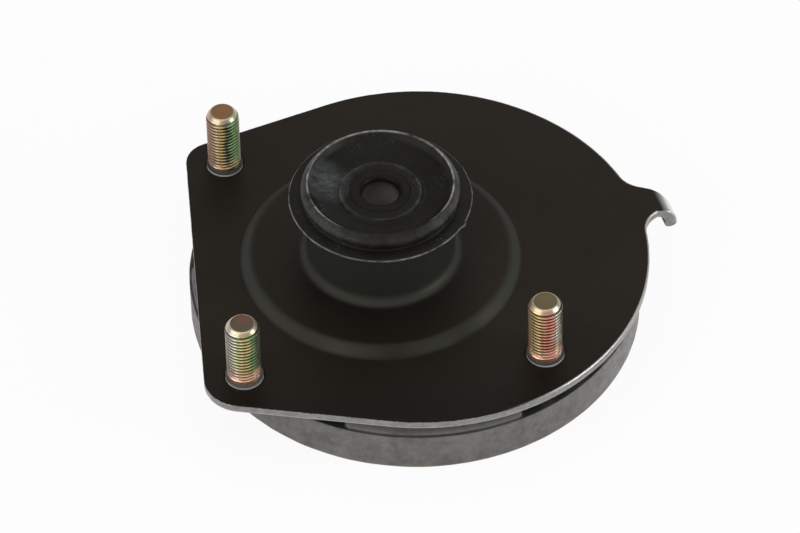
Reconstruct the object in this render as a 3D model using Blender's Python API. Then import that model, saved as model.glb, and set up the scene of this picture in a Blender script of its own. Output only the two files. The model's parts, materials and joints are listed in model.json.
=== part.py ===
"""Upper strut mount, fixed kind: a pressed plate with three studs, a bonded rubber bush round a
steel sleeve, a lower cup that closes the bush, and a rubber spring seat under the plate.

The shapes are drawn with the strut rod's axis at x = y = 0 and the plate's top face at z = 0.
At the end the whole mount is set down with its base on z = 0 and its footprint centred."""

import math

import bmesh
import bpy
from mathutils import Vector

MM = 0.001

# Fit between pieces that touch, bond or are welded
CLEARANCE = 0.3 * MM

# Sheet steel of the plate
PLATE_THICKNESS = 2.6 * MM

# Drawn neck and raised bead in the middle of the plate
NECK_RADIUS = 22.0 * MM
NECK_FILLET = 3.2 * MM
NECK_TOP = 24.0 * MM
BEAD_RADIUS = 42.35 * MM
BEAD_SLOPE_WIDTH = 3.3 * MM
BEAD_HEIGHT = 2.8 * MM
BEAD_FOOT_RADIUS = 0.6 * MM
BEAD_SHOULDER_RADIUS = 1.6 * MM

# Lower cup: its wall stands inside the bead, and its flange is welded just outside the bead
CUP_THICKNESS = 2.0 * MM
CUP_SETBACK = 6.35 * MM
CUP_RADIUS = BEAD_RADIUS - CUP_SETBACK
CUP_WELD_LAND = 3.35 * MM
CUP_FLANGE_RADIUS = BEAD_RADIUS + BEAD_SLOPE_WIDTH + CUP_WELD_LAND
CUP_DEPTH = 15.1 * MM
CUP_BEND_RADIUS = 3.0 * MM
CUP_HOLE_RADIUS = 15.0 * MM

# Studs, at three corners of a square about the rod's axis, clear of the cup's flange
STUD_RADIUS = 5.0 * MM
STUD_HEIGHT = 22.0 * MM
STUD_LEAD = 2.2 * MM
STUD_TIP_RADIUS = 3.4 * MM
COLLAR_RADIUS = 5.75 * MM
COLLAR_HEIGHT = 0.9 * MM
COLLAR_EDGE = 0.25 * MM
STUD_HEAD_RADIUS = 7.5 * MM
STUD_HEAD_THICKNESS = 3.0 * MM
STUD_HEAD_EDGE = 0.5 * MM
HEAD_TO_FLANGE = 5.7 * MM
STUD_OFFSET = (CUP_FLANGE_RADIUS + HEAD_TO_FLANGE + STUD_HEAD_RADIUS) / math.sqrt(2)

# Plate outline: a round edge off the rod's axis, a straight left side with a rounded corner
# near each of its two studs, and straight edges between the corners and the round edge
PLATE_CENTRE = Vector((11.65, 1.65)) * MM
RIM_PAST_STUD = 13.35 * MM
PLATE_RADIUS = (Vector((STUD_OFFSET, -STUD_OFFSET)) - PLATE_CENTRE).length + RIM_PAST_STUD
LEFT_SIDE_PAST_STUDS = 11.9 * MM
BACK_CORNER_RADIUS = 8.5 * MM
BACK_CORNER_SHIFT = 1.4 * MM
FRONT_CORNER_RADIUS = 11.5 * MM
FRONT_CORNER_SHIFT = 0.6 * MM

# Locating tab on the round edge, with an ear bent down at its end
TAB_DIRECTION = 10.1
TAB_LENGTH = 5.1 * MM
TAB_REACH = PLATE_RADIUS + TAB_LENGTH
TAB_BACK_HALF = 5.9 * MM
TAB_FRONT_HALF = 4.2 * MM
TAB_ROOT_RADIUS = 9.0 * MM
EAR_LENGTH = 2.7 * MM
EAR_CORNER_RADIUS = 1.3 * MM
EAR_END_FLAT = 0.5 * MM
EAR_BEND_RADIUS = 6.4 * MM
EAR_BEND_ANGLE = 83.0

# Steel sleeve for the rod, and the disc on it that carries the load
SLEEVE_BORE_RADIUS = 5.5 * MM
SLEEVE_RADIUS = 9.0 * MM
SLEEVE_MOUTH = 1.0 * MM
SLEEVE_TOP = 27.6 * MM
SLEEVE_BOTTOM = -17.0 * MM
DISC_RUBBER = 7.0 * MM
DISC_RADIUS = CUP_RADIUS - CUP_THICKNESS - DISC_RUBBER
DISC_THICKNESS = 3.0 * MM
DISC_TOP = -8.0 * MM
DISC_EDGE = 0.6 * MM

# Rubber bush: the dish and flange above the neck, and the recess below
CREST_RADIUS = 21.7 * MM
CREST_HEIGHT = 31.5 * MM
CREST_ROUND = 0.7 * MM
SHOULDER_RADIUS = 23.6 * MM
SHOULDER_HEIGHT = 28.8 * MM
GROOVE_RADIUS = 22.9 * MM
GROOVE_HEIGHT = 26.0 * MM
FLANGE_RADIUS = 27.1 * MM
FLANGE_LIP_TOP = 25.6 * MM
FLANGE_LIP_THICKNESS = 0.9 * MM
DISH_FLOOR_RADIUS = 13.4 * MM
DISH_FLOOR_HEIGHT = 26.7 * MM
DISH_WALL_RADIUS = 19.8 * MM
DISH_WALL_HEIGHT = 28.9 * MM
RIDGE_RADIUS = 11.9 * MM
RIDGE_HEIGHT = 27.7 * MM
RIDGE_WIDTH = 1.6 * MM
RIDGE_GROOVE_HEIGHT = 27.0 * MM
SLEEVE_COLLAR_RUBBER = 0.5 * MM
BUSH_RECESS_RADIUS = 16.5 * MM
BUSH_RECESS_DEPTH = 2.6 * MM

# Rubber spring seat: outer wall, web, and the collar that fits round the lower cup
SEAT_SETBACK = 1.1 * MM
SEAT_RADIUS = PLATE_RADIUS - SEAT_SETBACK
SEAT_SHIFT = Vector((-1.1, -0.85)) * MM
SEAT_CENTRE = PLATE_CENTRE + SEAT_SHIFT
SEAT_TOP = -7.0 * MM
SEAT_BASE = -20.0 * MM
SEAT_WALL = 5.0 * MM
SEAT_WEB = 6.0 * MM
SEAT_EDGE = 0.4 * MM
SEAT_WEB_FILLET = 1.6 * MM
SEAT_COLLAR_WALL = 4.0 * MM
SEAT_COLLAR_BASE = -17.5 * MM

# Pads on the spring seat that bear on the plate, outside the cup's flange
PAD_COUNT = 5
PAD_FIRST_ANGLE = -91.0
PAD_SPREAD = 46.0
PAD_DRAFT_ANGLE = 0.75
PAD_LEDGE = 0.8 * MM
PAD_DRAFT = 1.5 * MM
PAD_TO_FLANGE = 0.8 * MM
PAD_CORNER = 2.0 * MM
HEAD_POCKET_CLEARANCE = 1.0 * MM
HEAD_POCKET_DEPTH = 0.4 * MM

# Faces round a turn, from large pieces to small, and degrees or steps along other arcs
LARGE_TURN = 72
HUB_TURN = 60
BUSH_TURN = 48
SLEEVE_TURN = 32
POCKET_TURN = 24
STUD_TURN = 20
PAD_STEPS = 8
EAR_BEND_STEPS = 6
EAR_TIP_STEPS = 4
ARC_STEP = 3.0
BEND_STEP = 22.5

# Colour, roughness, metallic
PLATE_PAINT = ((0.020, 0.018, 0.014), 0.42, 0.0)
YELLOW_ZINC = ((0.52, 0.44, 0.24), 0.35, 1.0)
BLACK_RUBBER = ((0.016, 0.016, 0.016), 0.45, 0.0)
GREY_RUBBER = ((0.13, 0.125, 0.12), 0.85, 0.0)
DARK_STEEL = ((0.05, 0.05, 0.05), 0.45, 0.9)


def clear_scene():
    for old in list(bpy.data.objects):
        bpy.data.objects.remove(old, do_unlink=True)


def material(name, finish):
    colour, roughness, metallic = finish
    made = bpy.data.materials.new(name)
    made.use_nodes = True
    shader = made.node_tree.nodes["Principled BSDF"]
    shader.inputs["Base Color"].default_value = (*colour, 1.0)
    shader.inputs["Roughness"].default_value = roughness
    shader.inputs["Metallic"].default_value = metallic
    return made


def add_object(name, mesh_builder, finish, parent):
    """Turn a bmesh into a named object with its own material."""
    mesh = bpy.data.meshes.new(name)
    mesh_builder.to_mesh(mesh)
    mesh_builder.free()
    mesh.shade_smooth()
    mesh.set_sharp_from_angle(angle=math.radians(35))
    mesh.materials.append(material(name, finish))
    made = bpy.data.objects.new(name, mesh)
    made.parent = parent
    bpy.context.collection.objects.link(made)
    return made


def add_helper(name, mesh_builder, parent):
    """A shape that only cuts or joins another piece."""
    mesh = bpy.data.meshes.new(name)
    mesh_builder.to_mesh(mesh)
    mesh_builder.free()
    helper = bpy.data.objects.new(name, mesh)
    helper.parent = parent
    helper.hide_render = True
    helper.display_type = 'WIRE'
    bpy.context.collection.objects.link(helper)
    return helper


def boolean(target, helper, operation):
    step = target.modifiers.new(helper.name, 'BOOLEAN')
    step.object = helper
    step.operation = operation
    step.solver = 'EXACT'


def direction(angle):
    return Vector((math.cos(math.radians(angle)), math.sin(math.radians(angle))))


def even_arc(centre, radius, start, end, count):
    """Points along an arc cut into count equal steps, both ends included; angles in degrees."""
    return [centre + radius * direction(start + (end - start) * k / count) for k in range(count + 1)]


def arc(centre, radius, start, end, step=ARC_STEP):
    count = max(2, math.ceil(abs(end - start) / step - 1e-6))
    return even_arc(centre, radius, start, end, count)


def round_corner(before, corner, after, radius, step=BEND_STEP):
    """The points that replace a corner by an arc of the given radius."""
    into = (before - corner).normalized()
    out = (after - corner).normalized()
    half = into.angle(out) / 2
    middle = corner + (into + out).normalized() * radius / math.sin(half)
    first = corner + into * radius / math.tan(half) - middle
    last = corner + out * radius / math.tan(half) - middle
    start = math.degrees(math.atan2(first.y, first.x))
    sweep = math.degrees(math.atan2(first.x * last.y - first.y * last.x, first.dot(last)))
    return arc(middle, radius, start, start + sweep, step)


def rounded(corners, closed=True):
    """A path through (x, y) or (x, y, corner radius) corners, with the given corners rounded."""
    points = [Vector(corner[:2]) for corner in corners]
    path = []
    for k, corner in enumerate(corners):
        inner = closed or 0 < k < len(corners) - 1
        if len(corner) == 3 and corner[2] > 0 and inner:
            path += round_corner(points[k - 1], points[k], points[(k + 1) % len(points)], corner[2])
        else:
            path.append(points[k])
    return path


def turned(profile, steps, centre=(0.0, 0.0)):
    """A closed solid turned about a vertical axis from a closed (radius, height) profile.
    The profile runs up the inner side and down the outer side; a radius of 0 is on the axis."""
    shape = bmesh.new()
    columns = []
    for radius, height in profile:
        if radius == 0:
            point = shape.verts.new((centre[0], centre[1], height))
            columns.append([point] * steps)
            continue
        ring = [2 * math.pi * k / steps for k in range(steps)]
        columns.append([shape.verts.new((centre[0] + radius * math.cos(turn),
                                         centre[1] + radius * math.sin(turn), height))
                        for turn in ring])
    for k, column in enumerate(columns):
        following = columns[(k + 1) % len(columns)]
        for a in range(steps):
            b = (a + 1) % steps
            corners = []
            for vertex in (column[a], following[a], following[b], column[b]):
                if vertex not in corners:
                    corners.append(vertex)
            if len(corners) > 2:
                shape.faces.new(corners)
    bmesh.ops.recalc_face_normals(shape, faces=shape.faces)
    return shape


def cylinder(radius, low, high, steps, centre=(0.0, 0.0)):
    return turned([(0, low), (0, high), (radius, high), (radius, low)], steps, centre)


def add_loft(shape, low_outline, low, high_outline, high):
    """A closed solid between two outlines of as many points."""
    bottom = [shape.verts.new((point.x, point.y, low)) for point in low_outline]
    top = [shape.verts.new((point.x, point.y, high)) for point in high_outline]
    count = len(bottom)
    for k in range(count):
        following = (k + 1) % count
        shape.faces.new((bottom[k], bottom[following], top[following], top[k]))
    shape.faces.new(reversed(bottom))
    shape.faces.new(top)


def stud_places():
    return {"stud_rear_left": Vector((-STUD_OFFSET, STUD_OFFSET)),
            "stud_front_left": Vector((-STUD_OFFSET, -STUD_OFFSET)),
            "stud_front_right": Vector((STUD_OFFSET, -STUD_OFFSET))}


def plate_corner(side, radius, shift):
    """The centre of a rounded corner by the left side, and the direction that the straight
    edge from it to the plate's round edge faces. side is 1 at the back and -1 at the front."""
    left = -STUD_OFFSET - LEFT_SIDE_PAST_STUDS
    centre = Vector((left + radius, side * (STUD_OFFSET + shift)))
    across = PLATE_CENTRE - centre
    turn = math.degrees(math.acos((radius - PLATE_RADIUS) / across.length))
    return centre, math.degrees(math.atan2(across.y, across.x)) + side * turn


def tab_side(side, half_width):
    """One side of the tab, from the plate's round edge to the ear's bend, and how far round
    from the tab it starts. It is an arc, then straight if the bend lies past the arc's end.
    side is 1 at the back and -1 at the front."""
    across = half_width + TAB_ROOT_RADIUS
    to_middle = PLATE_RADIUS + TAB_ROOT_RADIUS
    swing = math.asin(across / to_middle)
    unfinished = math.asin(max(to_middle * math.cos(swing) - TAB_REACH, 0) / TAB_ROOT_RADIUS)
    turn = math.degrees(swing)
    middle = PLATE_CENTRE + to_middle * direction(TAB_DIRECTION + side * turn)
    start = TAB_DIRECTION + side * (turn - 180)
    end = TAB_DIRECTION - side * (90 + math.degrees(unfinished))
    path = arc(middle, TAB_ROOT_RADIUS, start, end, BEND_STEP)
    if unfinished == 0:
        bend = TAB_REACH * direction(TAB_DIRECTION) + side * half_width * direction(TAB_DIRECTION + 90)
        path.append(PLATE_CENTRE + bend)
    return path, turn


def plate_outline():
    """Counter-clockwise outline of the flat sheet, up to the ear's bend."""
    back_corner, back_facing = plate_corner(1, BACK_CORNER_RADIUS, BACK_CORNER_SHIFT)
    front_corner, front_facing = plate_corner(-1, FRONT_CORNER_RADIUS, FRONT_CORNER_SHIFT)
    back_side, back_swing = tab_side(1, TAB_BACK_HALF)
    front_side, front_swing = tab_side(-1, TAB_FRONT_HALF)
    outline = arc(PLATE_CENTRE, PLATE_RADIUS, TAB_DIRECTION + back_swing, back_facing)
    outline += arc(back_corner, BACK_CORNER_RADIUS, back_facing, 180, BEND_STEP / 2)
    outline += arc(front_corner, FRONT_CORNER_RADIUS, -180, front_facing, BEND_STEP / 2)
    outline += arc(PLATE_CENTRE, PLATE_RADIUS, front_facing, TAB_DIRECTION - front_swing)
    outline += front_side[1:]
    outline += reversed(back_side[1:])
    return outline


def hub_profile():
    """Top face of the bead and the neck, from the bead's foot inwards and up."""
    shoulder = BEAD_RADIUS - BEAD_SLOPE_WIDTH
    return rounded([(BEAD_RADIUS + BEAD_SLOPE_WIDTH, 0),
                    (BEAD_RADIUS, 0, BEAD_FOOT_RADIUS),
                    (shoulder, BEAD_HEIGHT, BEAD_SHOULDER_RADIUS),
                    (NECK_RADIUS, BEAD_HEIGHT, NECK_FILLET),
                    (NECK_RADIUS, NECK_TOP)], closed=False)[1:]


def add_ring(sheet, radius, height, centre, steps):
    ring = [centre + radius * direction(360 * k / steps) for k in range(steps)]
    return [sheet.verts.new((point.x, point.y, height)) for point in ring]


def close_loop(sheet, loop):
    return [sheet.edges.new((loop[k - 1], loop[k])) for k in range(len(loop))]


def add_strip(sheet, row, following):
    for k in range(len(row) - 1):
        sheet.faces.new((row[k], following[k], following[k + 1], row[k + 1]))


def add_ear(sheet, bend_back, bend_front):
    """The tab's end, bent down from the bend line outwards. Its back side slants in to the
    rounded end."""
    along = direction(TAB_DIRECTION).to_3d()
    across = (bend_back.co - bend_front.co).normalized()
    slant = (bend_back.co - bend_front.co).length - 2 * EAR_CORNER_RADIUS - EAR_END_FLAT
    down = Vector((0, 0, -1))
    bend_length = EAR_BEND_RADIUS * math.radians(EAR_BEND_ANGLE)
    rows = []
    for k in range(1, EAR_BEND_STEPS + 1):
        turn = math.radians(EAR_BEND_ANGLE) * k / EAR_BEND_STEPS
        bent = EAR_BEND_RADIUS * (math.sin(turn) * along + (1 - math.cos(turn)) * down)
        rows.append((bent, EAR_BEND_RADIUS * turn, 0))
    bend_end = rows[-1][0]
    slope = math.cos(turn) * along + math.sin(turn) * down
    for k in range(EAR_TIP_STEPS + 1):
        turn = math.radians(90) * k / EAR_TIP_STEPS
        reach = EAR_LENGTH - EAR_CORNER_RADIUS * (1 - math.sin(turn))
        rounding = EAR_CORNER_RADIUS * (1 - math.cos(turn))
        rows.append((bend_end + slope * reach, bend_length + reach, rounding))
    previous = [bend_back, bend_front]
    for place, reach, rounding in rows:
        narrowing = slant * reach / (bend_length + EAR_LENGTH) + rounding
        row = [sheet.verts.new(bend_back.co + place - across * narrowing),
               sheet.verts.new(bend_front.co + place + across * rounding)]
        sheet.faces.new((previous[0], previous[1], row[1], row[0]))
        previous = row


def plate_sheet():
    """The pressed sheet's top face, which the plate's thickness is added below."""
    sheet = bmesh.new()
    outline = [sheet.verts.new((point.x, point.y, 0)) for point in plate_outline()]
    profile = hub_profile()
    centre = Vector((0, 0))
    rings = [add_ring(sheet, radius, height, centre, HUB_TURN) for radius, height in profile]
    edges = close_loop(sheet, outline) + close_loop(sheet, rings[0])
    for place in stud_places().values():
        edges += close_loop(sheet, add_ring(sheet, COLLAR_RADIUS + CLEARANCE, 0, place, STUD_TURN))
    bmesh.ops.triangle_fill(sheet, edges=edges, use_beauty=True, normal=(0, 0, 1))
    for outer, inner in zip(rings, rings[1:]):
        add_strip(sheet, outer + outer[:1], inner + inner[:1])
    bend_ends = tab_side(1, TAB_BACK_HALF)[0][-1], tab_side(-1, TAB_FRONT_HALF)[0][-1]
    bend_back, bend_front = [min(outline, key=lambda vertex: (vertex.co.xy - end).length)
                             for end in bend_ends]
    add_ear(sheet, bend_back, bend_front)
    bmesh.ops.recalc_face_normals(sheet, faces=sheet.faces)
    if max(sheet.faces, key=lambda face: face.calc_area()).normal.z < 0:
        bmesh.ops.reverse_faces(sheet, faces=sheet.faces)
    return sheet


def make_plate(parent):
    plate = add_object("mounting_plate", plate_sheet(), PLATE_PAINT, parent)
    thickness = plate.modifiers.new("thickness", 'SOLIDIFY')
    thickness.thickness = PLATE_THICKNESS
    thickness.offset = -1
    thickness.use_even_offset = True
    return plate


def make_studs(parent):
    """Press-in studs: threaded shank, collar in the plate's hole, round head below."""
    head_top = -PLATE_THICKNESS - CLEARANCE
    head_base = head_top - STUD_HEAD_THICKNESS
    profile = rounded([(0, head_base), (0, STUD_HEIGHT),
                       (STUD_TIP_RADIUS, STUD_HEIGHT),
                       (STUD_RADIUS, STUD_HEIGHT - STUD_LEAD),
                       (STUD_RADIUS, COLLAR_HEIGHT),
                       (COLLAR_RADIUS, COLLAR_HEIGHT, COLLAR_EDGE),
                       (COLLAR_RADIUS, head_top),
                       (STUD_HEAD_RADIUS, head_top),
                       (STUD_HEAD_RADIUS, head_base, STUD_HEAD_EDGE)])
    for name, place in stud_places().items():
        stud = add_object(name, turned(profile, STUD_TURN), YELLOW_ZINC, parent)
        stud.location = place.to_3d()


def make_sleeve(parent):
    profile = rounded([(SLEEVE_BORE_RADIUS, SLEEVE_BOTTOM, SLEEVE_MOUTH),
                       (SLEEVE_BORE_RADIUS, SLEEVE_TOP, SLEEVE_MOUTH),
                       (SLEEVE_RADIUS, SLEEVE_TOP, SLEEVE_MOUTH / 2),
                       (SLEEVE_RADIUS, SLEEVE_BOTTOM)])
    add_object("inner_sleeve", turned(profile, SLEEVE_TURN), DARK_STEEL, parent)


def make_disc(parent):
    bore = SLEEVE_RADIUS + CLEARANCE
    profile = rounded([(bore, DISC_TOP - DISC_THICKNESS), (bore, DISC_TOP),
                       (DISC_RADIUS, DISC_TOP, DISC_EDGE),
                       (DISC_RADIUS, DISC_TOP - DISC_THICKNESS, DISC_EDGE)])
    add_object("inner_plate", turned(profile, BUSH_TURN), DARK_STEEL, parent)


def cup_levels():
    """Heights of the cup's flange top and of its floor's top face."""
    flange_top = -PLATE_THICKNESS - CLEARANCE
    return flange_top, flange_top - CUP_DEPTH + CUP_THICKNESS


def make_cup(parent):
    flange_top, floor_top = cup_levels()
    inner = CUP_RADIUS - CUP_THICKNESS
    tight = CUP_BEND_RADIUS - CUP_THICKNESS
    profile = rounded([(CUP_HOLE_RADIUS, floor_top - CUP_THICKNESS),
                       (CUP_HOLE_RADIUS, floor_top),
                       (inner, floor_top, tight),
                       (inner, flange_top, CUP_BEND_RADIUS),
                       (CUP_FLANGE_RADIUS, flange_top),
                       (CUP_FLANGE_RADIUS, flange_top - CUP_THICKNESS),
                       (CUP_RADIUS, flange_top - CUP_THICKNESS, tight),
                       (CUP_RADIUS, floor_top - CUP_THICKNESS, CUP_BEND_RADIUS)])
    add_object("lower_cup", turned(profile, BUSH_TURN), PLATE_PAINT, parent)


def bush_inner_side():
    """The bush's inner side, upwards: recess, pocket round the disc, sleeve, and dish."""
    bore = SLEEVE_RADIUS + CLEARANCE
    base = cup_levels()[1] + CLEARANCE
    pocket_top = DISC_TOP + CLEARANCE
    pocket_base = DISC_TOP - DISC_THICKNESS - CLEARANCE
    pocket_radius = DISC_RADIUS + CLEARANCE
    half_ridge = RIDGE_WIDTH / 2
    return [(BUSH_RECESS_RADIUS, base),
            (BUSH_RECESS_RADIUS - BUSH_RECESS_DEPTH, base + BUSH_RECESS_DEPTH),
            (bore, base + BUSH_RECESS_DEPTH),
            (bore, pocket_base),
            (pocket_radius, pocket_base),
            (pocket_radius, pocket_top),
            (bore, pocket_top),
            (bore, SLEEVE_TOP - SLEEVE_MOUTH),
            (bore + SLEEVE_COLLAR_RUBBER, SLEEVE_TOP - SLEEVE_MOUTH),
            (RIDGE_RADIUS - half_ridge, RIDGE_GROOVE_HEIGHT),
            (RIDGE_RADIUS, RIDGE_HEIGHT, RIDGE_WIDTH / 3),
            (RIDGE_RADIUS + half_ridge, DISH_FLOOR_HEIGHT),
            (DISH_FLOOR_RADIUS, DISH_FLOOR_HEIGHT),
            (DISH_WALL_RADIUS, DISH_WALL_HEIGHT, 4 * CREST_ROUND)]


def bush_outer_side():
    """The bush's outer side, downwards: crest, shoulder, flange, neck and disc body."""
    neck_inner = NECK_RADIUS - PLATE_THICKNESS - CLEARANCE
    dome_under = BEAD_HEIGHT - PLATE_THICKNESS - CLEARANCE
    body = CUP_RADIUS - CUP_THICKNESS - CLEARANCE
    base = cup_levels()[1] + CLEARANCE
    fillet = NECK_FILLET + PLATE_THICKNESS + CLEARANCE
    lip_base = FLANGE_LIP_TOP - FLANGE_LIP_THICKNESS
    return [(CREST_RADIUS, CREST_HEIGHT, CREST_ROUND),
            (SHOULDER_RADIUS, SHOULDER_HEIGHT, 2 * CREST_ROUND),
            (GROOVE_RADIUS, GROOVE_HEIGHT),
            (FLANGE_RADIUS, FLANGE_LIP_TOP),
            (FLANGE_RADIUS, lip_base),
            (NECK_RADIUS + CLEARANCE, NECK_TOP + CLEARANCE),
            (neck_inner, NECK_TOP + CLEARANCE),
            (neck_inner, dome_under, fillet),
            (body, dome_under),
            (body, base, CUP_BEND_RADIUS - CUP_THICKNESS + CLEARANCE)]


def make_bush(parent):
    profile = rounded(bush_inner_side() + bush_outer_side())
    add_object("bush_rubber", turned(profile, BUSH_TURN), BLACK_RUBBER, parent)


def pad_outline(outer, inner, angle, spread):
    """An annular pad with rounded corners, counter-clockwise, about the seat's centre."""
    outer_turn = math.degrees(PAD_CORNER / (outer - PAD_CORNER))
    inner_turn = math.degrees(PAD_CORNER / (inner + PAD_CORNER))
    start, end = angle - spread / 2, angle + spread / 2

    def corner(radius, at, facing):
        middle = SEAT_CENTRE + radius * direction(at)
        return arc(middle, PAD_CORNER, facing, facing + 90, 2 * BEND_STEP)

    outline = corner(outer - PAD_CORNER, start + outer_turn, start - 90)
    outline += even_arc(SEAT_CENTRE, outer, start + outer_turn, end - outer_turn, PAD_STEPS)[1:-1]
    outline += corner(outer - PAD_CORNER, end - outer_turn, end)
    outline += corner(inner + PAD_CORNER, end - inner_turn, end + 90)
    outline += even_arc(SEAT_CENTRE, inner, end - inner_turn, start + inner_turn, PAD_STEPS)[1:-1]
    outline += corner(inner + PAD_CORNER, start + inner_turn, start + 180)
    return outline


def seat_pads():
    """The pads, each sunk a little into the seat so that the two join."""
    shape = bmesh.new()
    low, high = SEAT_TOP - SEAT_WEB / 4, -PLATE_THICKNESS - CLEARANCE
    outer = SEAT_RADIUS - PAD_LEDGE
    inner = CUP_FLANGE_RADIUS + SEAT_CENTRE.length + PAD_TO_FLANGE
    for k in range(PAD_COUNT):
        angle = PAD_FIRST_ANGLE + 360 * k / PAD_COUNT
        foot = pad_outline(outer, inner, angle, PAD_SPREAD)
        head = pad_outline(outer - PAD_DRAFT, inner, angle, PAD_SPREAD - 2 * PAD_DRAFT_ANGLE)
        add_loft(shape, foot, low, head, high)
    bmesh.ops.triangulate(shape, faces=shape.faces)
    return shape


def head_pockets():
    """Room in the seat and its pads for the studs' heads."""
    shape = bmesh.new()
    radius = STUD_HEAD_RADIUS + HEAD_POCKET_CLEARANCE
    for place in stud_places().values():
        ring = even_arc(place, radius, 0, 360, POCKET_TURN)[:-1]
        add_loft(shape, ring, SEAT_TOP - HEAD_POCKET_DEPTH, ring, 0)
    return shape


def make_seat(parent):
    web_base = SEAT_TOP - SEAT_WEB
    inner_wall = SEAT_RADIUS - SEAT_WALL
    profile = rounded([(0, web_base), (0, SEAT_TOP),
                       (SEAT_RADIUS, SEAT_TOP, SEAT_EDGE),
                       (SEAT_RADIUS, SEAT_BASE, SEAT_EDGE),
                       (inner_wall, SEAT_BASE, SEAT_EDGE),
                       (inner_wall, web_base, SEAT_WEB_FILLET)])
    seat = add_object("spring_seat_rubber", turned(profile, LARGE_TURN, SEAT_CENTRE), GREY_RUBBER, parent)
    land_top = cup_levels()[0] - CUP_THICKNESS - CLEARANCE
    bore = CUP_RADIUS + CLEARANCE
    middle = SEAT_TOP - SEAT_WEB / 2
    collar = turned([(0, SEAT_COLLAR_BASE), (0, land_top),
                     (CUP_FLANGE_RADIUS, land_top), (CUP_FLANGE_RADIUS, middle),
                     (bore + SEAT_COLLAR_WALL, middle), (bore + SEAT_COLLAR_WALL, SEAT_COLLAR_BASE)],
                    HUB_TURN)
    boolean(seat, add_helper("seat_collar", collar, parent), 'UNION')
    boolean(seat, add_helper("seat_pads", seat_pads(), parent), 'UNION')
    boolean(seat, add_helper("seat_bore", cylinder(bore, 2 * SEAT_BASE, STUD_HEIGHT, HUB_TURN), parent),
            'DIFFERENCE')
    boolean(seat, add_helper("head_pockets", head_pockets(), parent), 'DIFFERENCE')
    return seat


def set_down(mount):
    """Put the base on z = 0 and the middle of the footprint on the origin."""
    bpy.context.view_layer.update()
    graph = bpy.context.evaluated_depsgraph_get()
    corners = []
    for piece in mount.children:
        if not piece.hide_render:
            solid = piece.evaluated_get(graph)
            corners += [solid.matrix_world @ vertex.co for vertex in solid.data.vertices]
    low = Vector([min(corner[k] for corner in corners) for k in range(3)])
    high = Vector([max(corner[k] for corner in corners) for k in range(3)])
    mount.location = (-(low.x + high.x) / 2, -(low.y + high.y) / 2, -low.z)


clear_scene()
strut_mount = bpy.data.objects.new("strut_mount", None)
bpy.context.collection.objects.link(strut_mount)
make_plate(strut_mount)
make_studs(strut_mount)
make_sleeve(strut_mount)
make_disc(strut_mount)
make_cup(strut_mount)
make_bush(strut_mount)
make_seat(strut_mount)
set_down(strut_mount)
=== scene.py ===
"""Looks of a fixed strut mount: steel sleeve, rubber bush, lower cup, pressed plate with threaded
studs, and rubber spring seat, in the order in which they are put together."""

import json
import math

import bmesh
import bpy
from mathutils import Matrix, Vector, noise


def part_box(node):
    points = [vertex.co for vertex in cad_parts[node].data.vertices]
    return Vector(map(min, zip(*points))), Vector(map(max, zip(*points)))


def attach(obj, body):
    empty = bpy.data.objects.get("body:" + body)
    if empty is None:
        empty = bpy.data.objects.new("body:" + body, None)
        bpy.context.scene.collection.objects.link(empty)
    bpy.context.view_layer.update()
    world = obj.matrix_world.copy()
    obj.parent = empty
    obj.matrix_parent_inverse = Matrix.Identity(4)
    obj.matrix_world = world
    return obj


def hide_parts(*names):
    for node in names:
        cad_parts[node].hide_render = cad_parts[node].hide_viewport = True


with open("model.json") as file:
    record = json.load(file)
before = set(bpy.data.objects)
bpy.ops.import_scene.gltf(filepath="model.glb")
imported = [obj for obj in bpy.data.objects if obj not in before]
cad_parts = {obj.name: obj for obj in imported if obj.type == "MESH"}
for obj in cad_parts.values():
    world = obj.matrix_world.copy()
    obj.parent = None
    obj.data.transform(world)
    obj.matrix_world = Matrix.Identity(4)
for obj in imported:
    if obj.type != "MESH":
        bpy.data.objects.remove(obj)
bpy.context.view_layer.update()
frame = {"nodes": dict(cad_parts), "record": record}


# The rod's axis. Every piece is drawn as on the part's drawing: the strut rod's axis runs up
# through x = y = 0, and the plate's top face is at height 0.

MM = 0.001
sleeve_low, sleeve_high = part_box("inner_sleeve")
PLATE_TOP = next(mount["pos_m"][2] for mount in frame["record"]["mounts"]
                 if mount["name"] == "plate_top")
ROD_AXIS = Vector(((sleeve_low.x + sleeve_high.x) / 2, (sleeve_low.y + sleeve_high.y) / 2,
                   PLATE_TOP))


# Steel sleeve and disc. The strut rod's end goes through the sleeve, and the disc pressed on it
# carries the load into the rubber. Both are plain carbon steel, turned and stamped, with a dark
# phosphate coat that the rubber bonds to.

SLEEVE_BORE_RADIUS = 5.5 * MM
SLEEVE_RADIUS = 9.0 * MM
SLEEVE_MOUTH = 1.0 * MM
SLEEVE_TOP = sleeve_high.z - PLATE_TOP
SLEEVE_BOTTOM = sleeve_low.z - PLATE_TOP
SLEEVE_TURN = 120
SLEEVE_ROUND = 1.35 * MM
ARC_STEP = 9.0
PHOSPHATE = (0.0050, 0.0044, 0.0038, 1)
PHOSPHATE_STAINED = (0.0085, 0.0072, 0.0060, 1)
# Bare steel down the bore, painted lighter to stand in for the light that reaches it
BORE_BARE_AND_LIT = (0.27, 0.24, 0.21, 1)
BORE_COATED_DEPTH = 1.5 * MM
BORE_BARE_DEPTH = 9.0 * MM


def direction(angle):
    return Vector((math.cos(math.radians(angle)), math.sin(math.radians(angle))))


def bearings(first, last):
    """Directions of two points from a centre, the last within half a turn of the first."""
    start = math.degrees(math.atan2(first.y, first.x))
    sweep = math.degrees(math.atan2(first.x * last.y - first.y * last.x, first.dot(last)))
    return start, start + sweep


def arc(centre, radius, start, end, step):
    """Points along an arc, both ends included; angles and the longest step in degrees."""
    count = max(1, math.ceil(abs(end - start) / step - 1e-6))
    return [centre + radius * direction(start + (end - start) * k / count)
            for k in range(count + 1)]


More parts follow.
